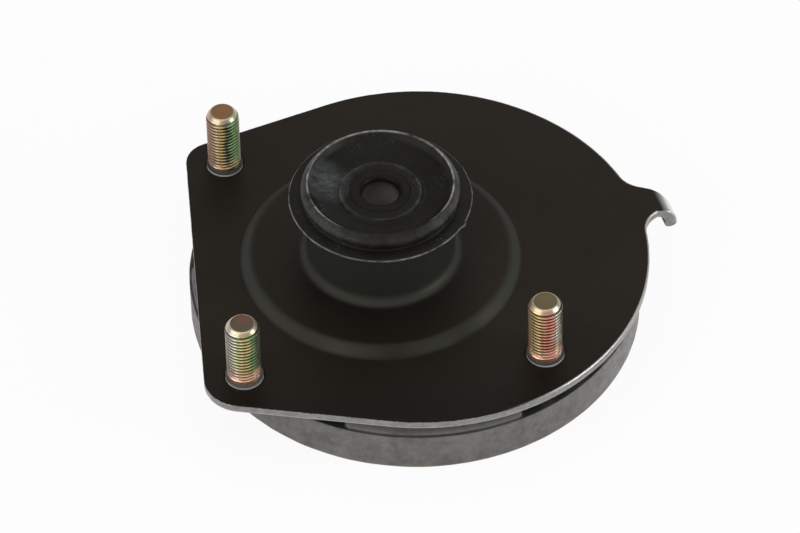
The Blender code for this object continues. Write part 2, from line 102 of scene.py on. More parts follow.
def round_corner(before, corner, after, radius):
    """The points that replace a corner by an arc of the given radius."""
    into = (before - corner).normalized()
    out = (after - corner).normalized()
    half = into.angle(out) / 2
    middle = corner + (into + out).normalized() * radius / math.sin(half)
    first = corner + into * radius / math.tan(half) - middle
    last = corner + out * radius / math.tan(half) - middle
    return arc(middle, radius, *bearings(first, last), ARC_STEP)


def rounded(corners, closed=True):
    """A path through (x, y) or (x, y, corner radius) corners, with the given corners rounded."""
    points = [Vector(corner[:2]) for corner in corners]
    path = []
    for k, corner in enumerate(corners):
        inner = closed or 0 < k < len(corners) - 1
        if len(corner) == 3 and inner:
            path += round_corner(points[k - 1], points[k], points[(k + 1) % len(points)], corner[2])
        else:
            path.append(points[k])
    return path


def spaced(path, longest, closed=True):
    """The same path with no stretch longer than the given length."""
    points = []
    for k in range(len(path) if closed else len(path) - 1):
        here, there = path[k], path[(k + 1) % len(path)]
        count = max(1, math.ceil((there - here).length / longest))
        points += [here.lerp(there, step / count) for step in range(count)]
    return points if closed else points + [path[-1]]


def add_circle(shape, radius, height, steps, centre=Vector((0, 0))):
    ring = [centre + radius * direction(360 * k / steps) for k in range(steps)]
    return [shape.verts.new((point.x, point.y, height)) for point in ring]


def join_rows(shape, rows):
    """Faces between closed rows of as many vertices; gives the first row and the last."""
    for row, following in zip(rows, rows[1:]):
        for k in range(len(row)):
            shape.faces.new((row[k - 1], row[k], following[k], following[k - 1]))
    return rows[0], rows[-1]


def turned(profile, steps):
    """A closed solid turned about the rod's axis from a closed (radius, height) profile."""
    shape = bmesh.new()
    rows = [add_circle(shape, radius, height, steps) for radius, height in profile]
    join_rows(shape, rows[-1:] + rows)
    return shape


def placed(name, data):
    """A new object in the scene."""
    made = bpy.data.objects.new(name, data)
    bpy.context.scene.collection.objects.link(made)
    return made


def mesh_object(name, shape, finish):
    mesh = bpy.data.meshes.new(name)
    shape.to_mesh(mesh)
    shape.free()
    mesh.materials.append(finish)
    return placed(name, mesh)


def add_piece(name, shape, finish, node, centre=Vector((0, 0)), sharp=35):
    """Make a shape into a piece that stands for a CAD node and rides on the mount."""
    bmesh.ops.recalc_face_normals(shape, faces=shape.faces)
    piece = mesh_object(name, shape, finish)
    piece.data.shade_smooth()
    piece.data.set_sharp_from_angle(angle=math.radians(sharp))
    piece.location = ROD_AXIS + centre.to_3d()
    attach(piece, "root")
    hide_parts(node)
    return piece


def put(tree, socket, value):
    """Set a socket to a value, or link it to another node's output."""
    if isinstance(value, bpy.types.NodeSocket):
        tree.links.new(value, socket)
    else:
        socket.default_value = value


def add_node(tree, kind, inputs, output=0, **settings):
    """A shader node with its inputs and settings; gives one of its outputs."""
    made = tree.nodes.new(kind)
    for name, value in settings.items():
        setattr(made, name, value)
    for name, value in inputs.items():
        put(tree, made.inputs[name], value)
    return made.outputs[output]


def surface_place(tree, stretch=(1, 1, 1)):
    """Where a point is on the piece, in metres, stretched for streaks."""
    place = tree.nodes.new('ShaderNodeTexCoord').outputs["Object"]
    if stretch == (1, 1, 1):
        return place
    return add_node(tree, 'ShaderNodeMapping', {"Vector": place, "Scale": stretch})


def coordinate(tree, axis):
    return add_node(tree, 'ShaderNodeSeparateXYZ', {0: surface_place(tree)}, output=axis)


def rod_distance(tree):
    """How far a point is from the rod's axis."""
    return add_node(tree, 'ShaderNodeVectorMath', {0: surface_place(tree, (1, 1, 0))},
                    output="Value", operation='LENGTH')


def cloud(tree, scale, detail, roughness, stretch=(1, 1, 1)):
    return add_node(tree, 'ShaderNodeTexNoise',
                    {"Vector": surface_place(tree, stretch), "Scale": scale, "Detail": detail,
                     "Roughness": roughness})


def ranged(tree, value, low, high, start=0.0, end=1.0):
    """The value's stretch from low to high, spread from start to end."""
    return add_node(tree, 'ShaderNodeMapRange', {"Value": value, "From Min": low, "From Max": high,
                                                 "To Min": start, "To Max": end})


def maths(tree, operation, first, second):
    return add_node(tree, 'ShaderNodeMath', {0: first, 1: second}, operation=operation)


def times(tree, first, second):
    return maths(tree, 'MULTIPLY', first, second)


def mixed(tree, mask, first, second):
    """The first colour where the mask is 0, and the second where it is 1."""
    return add_node(tree, 'ShaderNodeMix', {0: mask, 6: first, 7: second}, output=2,
                    data_type='RGBA')


def bumped(tree, height, distance):
    return add_node(tree, 'ShaderNodeBump', {"Height": height, "Distance": distance})


def set_inputs(tree, made, **inputs):
    """Set a node's inputs by their titles, written with _ for a space."""
    for title, value in inputs.items():
        put(tree, made.inputs[title.replace("_", " ")], value)


def new_finish(name):
    """A new material; gives it, its node tree and its shader."""
    made = bpy.data.materials.new(name)
    made.use_nodes = True
    return made, made.node_tree, made.node_tree.nodes["Principled BSDF"]


def new_group(name, inputs, outputs):
    """A node group with number inputs and outputs; gives it and its two end nodes."""
    group = bpy.data.node_groups.new(name, 'ShaderNodeTree')
    for title, value in inputs.items():
        socket = group.interface.new_socket(title, in_out='INPUT', socket_type='NodeSocketFloat')
        socket.default_value = value
    for title in outputs:
        group.interface.new_socket(title, in_out='OUTPUT', socket_type='NodeSocketFloat')
    return group, group.nodes.new('NodeGroupInput'), group.nodes.new('NodeGroupOutput')


def grain_and_stain():
    """Fine grain for the height, and large soft stains for the colour."""
    group, given, result = new_group("grain and stain", {"Grain Scale": 1000, "Stain Scale": 100},
                                     ["Grain", "Stain"])
    stain = cloud(group, given.outputs["Stain Scale"], 5.0, 0.6)
    set_inputs(group, result, Grain=cloud(group, given.outputs["Grain Scale"], 4.0, 0.65),
               Stain=ranged(group, stain, 0.38, 0.66))
    return group


def use_group(tree, group, **inputs):
    """Place a node group in a material; gives its outputs by name."""
    made = tree.nodes.new('ShaderNodeGroup')
    made.node_tree = group
    set_inputs(tree, made, **inputs)
    return made.outputs


GRAIN_AND_STAIN = grain_and_stain()


def phosphated_steel():
    """A dark coat, worn off down the bore by the rod. The bare steel there is painted lighter
    for the light seen down the bore.
    """
    finish, tree, shader = new_finish("phosphated steel")
    skin = use_group(tree, GRAIN_AND_STAIN, Grain_Scale=1400, Stain_Scale=160)
    coat = mixed(tree, skin["Stain"], PHOSPHATE, PHOSPHATE_STAINED)
    deep = ranged(tree, coordinate(tree, "Z"), SLEEVE_TOP - BORE_COATED_DEPTH,
                  SLEEVE_TOP - BORE_BARE_DEPTH)
    wall = ranged(tree, rod_distance(tree), SLEEVE_BORE_RADIUS + 0.3 * MM,
                  SLEEVE_BORE_RADIUS + 0.1 * MM)
    # Bare steel down the bore, worn by the rod and painted lighter for the light seen there
    set_inputs(tree, shader, Base_Color=mixed(tree, times(tree, deep, wall), coat, BORE_BARE_AND_LIT),
               Specular_IOR_Level=0.1, Roughness=ranged(tree, skin["Grain"], 0.3, 0.7, 0.35, 0.6),
               Normal=bumped(tree, skin["Grain"], 0.02 * MM))
    return finish


def make_sleeve(finish):
    profile = rounded([(SLEEVE_BORE_RADIUS, SLEEVE_BOTTOM, SLEEVE_MOUTH),
                       (SLEEVE_BORE_RADIUS, SLEEVE_TOP, SLEEVE_ROUND),
                       (SLEEVE_RADIUS, SLEEVE_TOP, SLEEVE_MOUTH / 4),
                       (SLEEVE_RADIUS, SLEEVE_BOTTOM, SLEEVE_MOUTH / 4)])
    add_piece("rod_sleeve", turned(spaced(profile, 2 * MM), SLEEVE_TURN), finish,
              "inner_sleeve")


STEEL_FINISH = phosphated_steel()
make_sleeve(STEEL_FINISH)
frame["nodes"]["inner_plate"].material_slots[0].material = STEEL_FINISH


# Rubber bush. One black moulding, bonded to the sleeve and the disc, fills the neck and the cup.
# Above the neck it spreads into a thin flange with a wavy lip of moulding flash, and a dish with
# a raised ridge leads down to the sleeve. It is slightly glossy and scuffed on its high places, and
# highlights on its lip, crest, ridge and flank and a bluish reflection in its dish are painted on.

CREST_RADIUS = 21.7 * MM
CREST_HEIGHT = 31.5 * MM
CREST_ROUND = 0.45 * MM
SHOULDER_RADIUS = 23.6 * MM
SHOULDER_HEIGHT = 28.8 * MM
GROOVE_RADIUS = 22.9 * MM
GROOVE_HEIGHT = 26.0 * MM
FLANGE_RADIUS = 27.1 * MM
FLANGE_LIP_TOP = 25.6 * MM
FLANGE_LIP_THICKNESS = 0.9 * MM
DISH_FLOOR_RADIUS = 13.4 * MM
DISH_FLOOR_HEIGHT = 26.7 * MM
DISH_WALL_RADIUS = 19.8 * MM
DISH_WALL_HEIGHT = 28.9 * MM
RIDGE_RADIUS = 11.9 * MM
RIDGE_HEIGHT = 27.7 * MM
RIDGE_WIDTH = 1.6 * MM
RIDGE_GROOVE_HEIGHT = 27.0 * MM
NECK_RADIUS = 22.0 * MM
NECK_TOP = 24.0 * MM
NECK_FILLET = 3.2 * MM
PLATE_THICKNESS = 2.6 * MM
BEAD_HEIGHT = 2.8 * MM
CLEARANCE = 0.3 * MM
CUP_INNER_RADIUS = 34.0 * MM
CUP_FLOOR = -16.0 * MM
RECESS_RADIUS = 13.9 * MM
RECESS_MOUTH_RADIUS = 16.5 * MM
RECESS_TOP = CUP_FLOOR + CLEARANCE + 2.6 * MM
BOND_GAP = 0.02 * MM
BUSH_TURN = 240
LIP_WAVE_HEIGHT = 0.22 * MM
LIP_LONG_WAVES = 3.2
LIP_SHORT_WAVES = 11.0
LIP_TAG_ANGLE = -32.0
LIP_TAG_LENGTH = 0.6 * MM
LIP_TAG_WIDTH = 3.2
RUBBER_BLACK = (0.0072, 0.0058, 0.0047, 1)
RUBBER_BLOOM = (0.0098, 0.0090, 0.0080, 1)
# Colour of the bluish reflection painted on one side of the dish
RUBBER_BLUISH_REFLECTION = (0.074, 0.083, 0.085, 1)
RUBBER_SCUFF = (0.060, 0.062, 0.058, 1)
RUBBER_RUBBED_AND_HIGHLIT = (0.62, 0.61, 0.57, 1)
RUBBER_SHEEN = (0.94, 1.0, 0.86, 1)
# Where the moulding is rubbed light and has highlights painted on it: radius, height and how far
# that reaches in mm, then how much it is rubbed and painted light at the sides, at the back and at
# the front
RUBBED_AND_HIGHLIT_RIMS = ((27.1, 25.4, 0.28, 0.50, 0.24, 0.34), (21.6, 31.0, 0.26, 0.95, 0.70, 0.0),
               (12.0, 27.7, 0.9, 0.10, 0.065, 0.055), (23.0, 26.2, 0.20, 0.06, 0.0, 0.0),
               (23.0, 29.4, 2.2, 0.085, 0.035, 0.036))
RUBBED_AND_HIGHLIT_REACH = 1.6
# Where the painted bluish reflection lies in the dish: its bearing, distance from the rod's axis
# and reach
REFLECTION_ANGLE = 163.0
REFLECTION_RADIUS = 16.8 * MM
REFLECTION_SPREAD = 9.0 * MM


def bush_profile():
    """Closed (radius, height) profile: up the inner side, over the dish, down the outer side."""
    bore = SLEEVE_RADIUS + CLEARANCE
    half_ridge = RIDGE_WIDTH / 2
    neck_inner = NECK_RADIUS - PLATE_THICKNESS - CLEARANCE
    dome_under = BEAD_HEIGHT - PLATE_THICKNESS - CLEARANCE
    fillet = NECK_FILLET + PLATE_THICKNESS + CLEARANCE
    body = CUP_INNER_RADIUS - CLEARANCE
    base = CUP_FLOOR + CLEARANCE
    lip_base = FLANGE_LIP_TOP - FLANGE_LIP_THICKNESS
    half_lip = 0.49 * FLANGE_LIP_THICKNESS
    crest = Vector((CREST_RADIUS, CREST_HEIGHT))
    inside, outside = (crest + (end - crest).normalized() * 2 * CREST_ROUND
                       for end in (Vector((DISH_WALL_RADIUS, DISH_WALL_HEIGHT)),
                                   Vector((SHOULDER_RADIUS, SHOULDER_HEIGHT))))
    return rounded([
        (RECESS_MOUTH_RADIUS, base, 0.5 * MM),
        (RECESS_RADIUS, RECESS_TOP, 1.0 * MM),
        (bore, RECESS_TOP),
        (bore, SLEEVE_TOP - 3 * SLEEVE_MOUTH),
        (SLEEVE_RADIUS + BOND_GAP, SLEEVE_TOP - 2.5 * SLEEVE_MOUTH),
        (SLEEVE_RADIUS + BOND_GAP, SLEEVE_TOP - 0.12 * MM, 0.05 * MM),
        (RIDGE_RADIUS - half_ridge, RIDGE_GROOVE_HEIGHT, 0.4 * MM),
        (RIDGE_RADIUS, RIDGE_HEIGHT, RIDGE_WIDTH / 3),
        (RIDGE_RADIUS + half_ridge, DISH_FLOOR_HEIGHT, 0.4 * MM),
        (DISH_FLOOR_RADIUS, DISH_FLOOR_HEIGHT, 0.5 * MM),
        (DISH_WALL_RADIUS, DISH_WALL_HEIGHT, 2.8 * MM),
        tuple(inside),
        (*crest, CREST_ROUND),
        tuple(outside),
        (SHOULDER_RADIUS, SHOULDER_HEIGHT, 1.4 * MM),
        (GROOVE_RADIUS, GROOVE_HEIGHT, 0.5 * MM),
        (FLANGE_RADIUS, FLANGE_LIP_TOP, half_lip),
        (FLANGE_RADIUS, lip_base, half_lip),
        (NECK_RADIUS + CLEARANCE, NECK_TOP + CLEARANCE, 0.3 * MM),
        (neck_inner, NECK_TOP + CLEARANCE),
        (neck_inner, dome_under, fillet),
        (body, dome_under, 0.8 * MM),
        (body, base, 1.3 * MM)])


def wave_lip(shape):
    """The flange's thin lip isn't quite level or round, and a tag of flash stands out of it."""
    for vertex in shape.verts:
        radius = vertex.co.xy.length
        reach = (radius - GROOVE_RADIUS) / (FLANGE_RADIUS - GROOVE_RADIUS)
        if reach > 0 and vertex.co.z > NECK_TOP:
            angle = math.degrees(math.atan2(vertex.co.y, vertex.co.x))
            wave = noise.noise(Vector((*(LIP_LONG_WAVES * direction(angle)), 0.0)))
            wave += 0.4 * noise.noise(Vector((*(LIP_SHORT_WAVES * direction(angle)), 5.0)))
            tag = max(0.0, 1.0 - ((angle - LIP_TAG_ANGLE) / LIP_TAG_WIDTH) ** 2)
            spread = 0.5 * LIP_WAVE_HEIGHT * wave + LIP_TAG_LENGTH * tag
            vertex.co.z += LIP_WAVE_HEIGHT * wave * reach ** 2
            vertex.co.xy *= 1 + spread * reach ** 4 / radius


def roughen(shape, depth, scale, seed):
    """Lay soft unevenness on a moulded piece."""
    shape.normal_update()
    for vertex in shape.verts:
        vertex.co += vertex.normal * depth * noise.noise(vertex.co * scale + Vector((0, 0, seed)))


def dust_specks():
    """Dust: small pale specks in patches. Cover is the share of specks that show."""
    group, given, result = new_group("dust specks", {"Scale": 800, "Cover": 0.3, "Patch Scale": 60},
                                     ["Specks", "Patches"])
    cells = add_node(group, 'ShaderNodeTexVoronoi',
                     {"Vector": surface_place(group), "Scale": given.outputs["Scale"]})
    patches = ranged(group, cloud(group, given.outputs["Patch Scale"], 4.0, 0.55), 0.42, 0.68)
    reach = times(group, given.outputs["Cover"], maths(group, 'ADD', patches, 0.25))
    specks = ranged(group, maths(group, 'SUBTRACT', reach, cells), 0.0, 0.12)
    set_inputs(group, result, Specks=specks, Patches=patches)
    return group


DUST_SPECKS = dust_specks()


def clamped(value):
    return min(1.0, max(0.0, value))


def mark_rubbed_and_highlit(shape):
    """Mark where the black is rubbed and where highlights are painted on it, most at the sides: the
    lip's edge, crest, ridge and flank. A painted bluish reflection lies on one side of the dish."""
    rubbed_and_highlit, dish_reflection = (shape.verts.layers.float.new(name) for name in ("rubbed_and_highlit", "dish_reflection"))
    for vertex in shape.verts:
        radius = vertex.co.xy.length
        section = Vector((radius, vertex.co.z)) / MM
        sideways = clamped((abs(vertex.co.x) / radius - 0.55) / 0.35)
        for middle, height, spread, sides, back, front in RUBBED_AND_HIGHLIT_RIMS:
            away = (section - Vector((middle, height))).length / spread
            lengthways = back if vertex.co.y > 0 else front
            amount = lengthways + (sides - lengthways) * sideways
            amount *= max(0.0, RUBBED_AND_HIGHLIT_REACH - away) / RUBBED_AND_HIGHLIT_REACH
            vertex[rubbed_and_highlit] = max(vertex[rubbed_and_highlit], amount)
        away = (vertex.co.xy - REFLECTION_RADIUS * direction(REFLECTION_ANGLE)).length / REFLECTION_SPREAD
        if radius < CREST_RADIUS and vertex.co.z > NECK_TOP:
            vertex[dish_reflection] = max(0.0, 1 - away ** 2)


def attribute(tree, name, output="Fac"):
    """What was marked on the piece's vertices."""
    return add_node(tree, 'ShaderNodeAttribute', {}, output=output, attribute_name=name)


def black_rubber():
    finish, tree, shader = new_finish("black moulded rubber")
    skin = use_group(tree, GRAIN_AND_STAIN, Grain_Scale=1500, Stain_Scale=95)
    dust = use_group(tree, DUST_SPECKS, Scale=1300, Cover=0.30, Patch_Scale=90)
    streaks = ranged(tree, cloud(tree, 300, 6.0, 0.75, (1, 1.7, 1)), 0.36, 0.62, 0.15, 0.9)
    breaks = ranged(tree, cloud(tree, 170, 6.0, 0.7), 0.34, 0.62)
    colour = mixed(tree, skin["Stain"], RUBBER_BLACK, RUBBER_BLOOM)
    # A streaked bluish reflection painted on one side of the dish
    colour = mixed(tree, times(tree, attribute(tree, "dish_reflection"), streaks), colour, RUBBER_BLUISH_REFLECTION)
    colour = mixed(tree, times(tree, dust["Specks"], 0.6), colour, RUBBER_SCUFF)
    # Rubbed light on the high places, with painted highlights on the lip, crest, ridge and flank
    colour = mixed(tree, times(tree, attribute(tree, "rubbed_and_highlit"), breaks), colour, RUBBER_RUBBED_AND_HIGHLIT)
    set_inputs(tree, shader, Base_Color=colour, Specular_IOR_Level=0.11,
               Specular_Tint=RUBBER_SHEEN, Roughness=ranged(tree, skin["Stain"], 0, 1, 0.36, 0.50),
               Normal=bumped(tree, skin["Grain"], 0.03 * MM))
    return finish


def make_bush():
    shape = turned(spaced(bush_profile(), 0.9 * MM), BUSH_TURN)
    mark_rubbed_and_highlit(shape)
    wave_lip(shape)
    roughen(shape, 0.05 * MM, 320, 2.0)
    add_piece("bush_moulding", shape, black_rubber(), "bush_rubber", sharp=50)


make_bush()


# Pressed plate. Sheet steel is blanked, raised in a round bead, and drawn up into a neck round
# the bush. The sheared edge shows a rounded top, a smooth band and a torn band, rubbed bright
# through the satin black paint, with a highlight painted on its top corner at the right, and a tab
# with a bent-down ear locates the mount in the car. A highlight is painted down the ear's bend.

BEAD_RADIUS = 42.35 * MM
BEAD_SLOPE_WIDTH = 3.3 * MM
BEAD_FOOT_RADIUS = 0.6 * MM
BEAD_SHOULDER_RADIUS = 1.6 * MM
HUB_TURN = 220
STUD_OFFSET = 43.98 * MM
STUD_PLACES = {"stud_rear_left": Vector((-STUD_OFFSET, STUD_OFFSET)),
               "stud_front_left": Vector((-STUD_OFFSET, -STUD_OFFSET)),
               "stud_front_right": Vector((STUD_OFFSET, -STUD_OFFSET))}
STUD_HOLE_RADIUS = 5.8 * MM
STUD_HOLE_EDGE = 0.15 * MM
STUD_HOLE_TURN = 64
PLATE_CENTRE = Vector((11.65, 1.65)) * MM
RIM_PAST_STUD = 13.35 * MM
PLATE_RADIUS = (Vector((STUD_OFFSET, -STUD_OFFSET)) - PLATE_CENTRE).length + RIM_PAST_STUD
LEFT_SIDE_PAST_STUDS = 11.9 * MM
BACK_CORNER_RADIUS = 8.5 * MM
BACK_CORNER_SHIFT = 1.4 * MM
FRONT_CORNER_RADIUS = 11.5 * MM
FRONT_CORNER_SHIFT = 0.6 * MM
TAB_DIRECTION = 10.1
TAB_REACH = PLATE_RADIUS + 5.1 * MM
TAB_BACK_HALF = 5.9 * MM
TAB_FRONT_HALF = 4.2 * MM
TAB_ROOT_RADIUS = 9.0 * MM
EAR_LENGTH = 2.7 * MM
EAR_CORNER_RADIUS = 1.3 * MM
EAR_BACK_CORNER_RADIUS = 1.6 * EAR_CORNER_RADIUS
EAR_NOTCH_RADIUS = 1.9 * EAR_CORNER_RADIUS
EAR_END_FLAT = 0.5 * MM
EAR_BEND_RADIUS = 6.4 * MM
EAR_BEND_ANGLE = 83.0
EAR_BEND_STEPS = 16
EAR_STRAIGHT_STEPS = 4
EAR_SWELL = 0.5
EAR_END_ROUND = 1.9 * MM
# Where the highlight painted down the ear's bend begins, as a share of the bend
EAR_HIGHLIGHT_FROM = 0.14
EDGE_SPACING = 0.7 * MM
# Unevenness of the sheared edge in mm: small tears, longer chips, and the room kept for both
EDGE_TEAR, EDGE_CHIP, EDGE_SPARE = 0.04, 0.05, 0.04
# The sheared edge from the flat top to the flat underside: inset, depth, and how bare it is
EDGE_ROWS = ((1.4, 0.0, 0.0), (0.60, 0.0, 0.0), (0.38, 0.02, 0.15), (0.20, 0.08, 0.35),
             (0.07, 0.20, 0.55), (0.0, 0.40, 0.8), (0.0, 0.75, 1.0), (0.0, 1.15, 1.0),
             (0.02, 1.50, 1.0), (0.05, 1.85, 1.0), (0.06, 2.20, 1.0), (0.03, 2.46, 1.0),
             (0.10, 2.60, 0.9), (0.50, 2.60, 0.1), (1.4, 2.60, 0.0))
PAINT_BLACK = (0.0088, 0.0070, 0.0054, 1)
PAINT_DUSTY = (0.0112, 0.0094, 0.0074, 1)
# Colour of the painted shade towards the front of the plate
PAINT_FRONT_SHADE = (0.0022, 0.0021, 0.0016, 1)
PAINT_FLECK = (0.07, 0.065, 0.058, 1)
# The neck's wall painted lighter for the light that falls on it
NECK_PAINTED_LIGHT = (0.0205, 0.0215, 0.0175, 1)
# Colour of the highlights painted on the bead's slope and the neck's foot
SLOPE_AND_FOOT_HIGHLIGHT = (0.0340, 0.0355, 0.0305, 1)
PAINT_SHEEN = (1.0, 0.86, 0.68, 1)
WHITE = (1, 1, 1, 1)
BARE_STEEL = (0.29, 0.29, 0.285, 1)
BARE_STEEL_DULL = (0.20, 0.195, 0.187, 1)
POLISHED_STEEL_AND_HIGHLIGHT = (0.82, 0.80, 0.77, 1)
# Painted shade darkens the paint between these distances to the front of the rod's axis
PAINT_FRONT_SHADE_SPAN = (34 * MM, 62 * MM)


def plate_corner(side, radius, shift):
    """The centre of a rounded corner by the left side, and the direction that the straight
    edge from it to the plate's round edge faces. side is 1 at the back and -1 at the front."""
    left = -STUD_OFFSET - LEFT_SIDE_PAST_STUDS
    centre = Vector((left + radius, side * (STUD_OFFSET + shift)))
    across = PLATE_CENTRE - centre
    turn = math.degrees(math.acos((radius - PLATE_RADIUS) / across.length))
    return centre, math.degrees(math.atan2(across.y, across.x)) + side * turn


def tab_side(side, half_width):
    """One side of the tab, from the plate's round edge to the ear's bend, and how far round
    from the tab it starts. side is 1 at the back and -1 at the front."""
    across = half_width + TAB_ROOT_RADIUS
    to_middle = PLATE_RADIUS + TAB_ROOT_RADIUS
    swing = math.asin(across / to_middle)
    to_reach = to_middle * math.cos(swing) - TAB_REACH
    unfinished = math.degrees(math.asin(to_reach / TAB_ROOT_RADIUS))
    turn = math.degrees(swing)
    middle = PLATE_CENTRE + to_middle * direction(TAB_DIRECTION + side * turn)
    start, end = TAB_DIRECTION + side * (turn - 180), TAB_DIRECTION - side * (90 + unfinished)
    return arc(middle, TAB_ROOT_RADIUS, start, end, 5), turn


def plate_outline():
    """Counter-clockwise outline of the blank, before the ear is bent."""
    back_corner, back_facing = plate_corner(1, BACK_CORNER_RADIUS, BACK_CORNER_SHIFT)
    front_corner, front_facing = plate_corner(-1, FRONT_CORNER_RADIUS, FRONT_CORNER_SHIFT)
    back_side, back_swing = tab_side(1, TAB_BACK_HALF)
    front_side, front_swing = tab_side(-1, TAB_FRONT_HALF)
    outline = arc(PLATE_CENTRE, PLATE_RADIUS, TAB_DIRECTION + back_swing, back_facing, 1)
    outline += arc(back_corner, BACK_CORNER_RADIUS, back_facing, 180, 4)
    outline += arc(front_corner, FRONT_CORNER_RADIUS, -180, front_facing, 4)
    outline += arc(PLATE_CENTRE, PLATE_RADIUS, front_facing, TAB_DIRECTION - front_swing, 1)
    unbent = EAR_BEND_RADIUS * math.radians(EAR_BEND_ANGLE) + EAR_LENGTH
    end_front = front_side[-1] + unbent * direction(TAB_DIRECTION)
    end_back = end_front + (2 * EAR_CORNER_RADIUS + EAR_END_FLAT) * direction(TAB_DIRECTION + 90)
    # The ear's back edge meets the tab's back side at the third point from that side's end
    notch, past_notch = back_side[-3], back_side[-4]
    outline += front_side[1:-1]
    outline += rounded([front_side[-1], (*end_front, EAR_CORNER_RADIUS),
                        (*end_back, EAR_BACK_CORNER_RADIUS), (*notch, EAR_NOTCH_RADIUS),
                        past_notch], closed=False)
    outline += reversed(back_side[1:-4])
    return spaced(outline, EDGE_SPACING)


def outward(outline):
    """The direction out of the outline at each of its points."""
    facing = []
    for k in range(len(outline)):
        run = (outline[(k + 1) % len(outline)] - outline[k - 1]).normalized()
        facing.append(Vector((run.y, -run.x)))
    return facing


def hub_corners():
    """Corners of the bead's and neck's top face, from the bead's foot inwards and up."""
    shoulder = BEAD_RADIUS - BEAD_SLOPE_WIDTH
    return [(BEAD_RADIUS + BEAD_SLOPE_WIDTH, 0, 0),
            (BEAD_RADIUS, 0, BEAD_FOOT_RADIUS),
            (shoulder, BEAD_HEIGHT, BEAD_SHOULDER_RADIUS),
            (NECK_RADIUS, BEAD_HEIGHT, NECK_FILLET),
            (NECK_RADIUS, NECK_TOP, 0)]


def underside(corners):
    """The same sheet's other face, one thickness below."""
    points = [Vector(corner[:2]) for corner in corners]
    below = []
    for k, corner in enumerate(corners):
        before = (points[k] - points[k - 1]).normalized() if k else None
        after = (points[k + 1] - points[k]).normalized() if k < len(corners) - 1 else before
        before = before or after
        inner, outer = (Vector((-run.y, run.x)) for run in (before, after))
        bisector = (inner + outer).normalized()
        point = points[k] + bisector * PLATE_THICKNESS / bisector.dot(inner)
        turn = before.x * after.y - before.y * after.x
        radius = corner[2] - math.copysign(PLATE_THICKNESS, turn)
        below.append((point.x, point.y, max(radius, 0.4 * MM)))
    return below


def fill_flat(shape, loops):
    """Fill the flat sheet between an outline and its holes."""
    edges = []
    for loop in loops:
        for k in range(len(loop)):
            ends = (loop[k - 1], loop[k])
            edges.append(shape.edges.get(ends) or shape.edges.new(ends))
    bmesh.ops.triangle_fill(shape, edges=edges, use_beauty=True, normal=(0, 0, 1))


def edge_shine(out, depth):
    """How bright the edge is at a depth in mm: a highlight painted on its top corner on the right
    side, where the light falls, and its burnished lower burr all round."""
    corner, burr = 1 - abs(depth - 0.12) / 0.28, 1 - abs(depth - 2.4) / 0.22
    return max(0.0, clamped((out.x - 0.25) / 0.3) * corner, 0.4 * burr)


def add_edge_rows(shape, bareness, burnish_and_highlight):
    """The sheared edge all round; gives its first row, on top, and its last, underneath."""
    outline = plate_outline()
    facing = outward(outline)
    rows = []
    for number, (inset, depth, bare) in enumerate(EDGE_ROWS):
        inner = 0 < number < len(EDGE_ROWS) - 1
        row = []
        for point, out in zip(outline, facing):
            torn = noise.noise(Vector((point.x, point.y, depth * MM)) * 900) * EDGE_TEAR
            chipped = noise.noise(Vector((point.x, point.y, 0.0)) * 240) * EDGE_CHIP
            uneven = ((torn + chipped) * (bare > 0.1) + EDGE_SPARE) * inner
            place = point - out * (inset + uneven) * MM
            vertex = shape.verts.new((place.x, place.y, -depth * MM))
            vertex[bareness] = bare
            # Burnished lower burr, and a painted highlight on the top corner at the right
            vertex[burnish_and_highlight] = edge_shine(out, depth) if bare > 0.1 else 0.0
            row.append(vertex)
        rows.append(row)
    return join_rows(shape, rows)


def add_hub(shape, corners):
    """One face of the bead and neck; gives its outermost and innermost rows."""
    profile = spaced(rounded(corners, closed=False), 1.2 * MM, closed=False)
    return join_rows(shape, [add_circle(shape, radius, height, HUB_TURN)
                             for radius, height in profile])


def add_stud_hole(shape, place):
    """A punched hole through the sheet; gives its rims on top and underneath."""
    edge, below = STUD_HOLE_EDGE, -PLATE_THICKNESS
    levels = ((4 * edge, 0), (edge, 0), (0, -edge), (0, below + edge), (edge, below),
              (4 * edge, below))
    return join_rows(shape, [
        add_circle(shape, STUD_HOLE_RADIUS + inset, height, STUD_HOLE_TURN, place)
        for inset, height in levels])


def bend_ear(shape, burnish_and_highlight):
    """Cut the ear across its bend and turn it down. It swells a little inwards, its sheared end
    is rounded over, and a highlight is painted down the bend of its outer face as polished steel."""
    root = (PLATE_CENTRE + TAB_REACH * direction(TAB_DIRECTION)).to_3d()
    along = direction(TAB_DIRECTION).to_3d()
    turn = math.radians(EAR_BEND_ANGLE)
    bend_length = EAR_BEND_RADIUS * turn
    end = bend_length + EAR_LENGTH
    for k in range(EAR_BEND_STEPS + EAR_STRAIGHT_STEPS):
        parts = list(shape.verts) + list(shape.edges) + list(shape.faces)
        bmesh.ops.bisect_plane(shape, geom=parts, plane_no=along,
                               plane_co=root + along * bend_length * k / EAR_BEND_STEPS)
    for vertex in shape.verts:
        reach = (vertex.co - root).dot(along)
        if reach > 0:
            flat = vertex.co - along * reach
            outside = max(0.0, 1 + 6 * vertex.co.z / PLATE_THICKNESS)
            # Painted highlight: bright polished steel down the outer face of the bend
            vertex[burnish_and_highlight] = outside * clamped((reach / bend_length - EAR_HIGHLIGHT_FROM) * 3.5)
            middle = 1 + 2 * vertex.co.z / PLATE_THICKNESS
            share = max(0.0, (reach - end) / EAR_END_ROUND + 1)
            reach -= share * EAR_END_ROUND * (1 - math.sqrt(max(0.0, 1 - middle ** 2)))
            angle = min(reach / EAR_BEND_RADIUS, turn)
            arm = EAR_BEND_RADIUS + vertex.co.z * (1 + EAR_SWELL * angle / turn)
            rest = max(reach - bend_length, 0)
            forward = arm * math.sin(angle) + rest * math.cos(angle)
            height = arm * math.cos(angle) - EAR_BEND_RADIUS - rest * math.sin(angle)
            vertex.co = Vector((flat.x, flat.y, height)) + along * forward


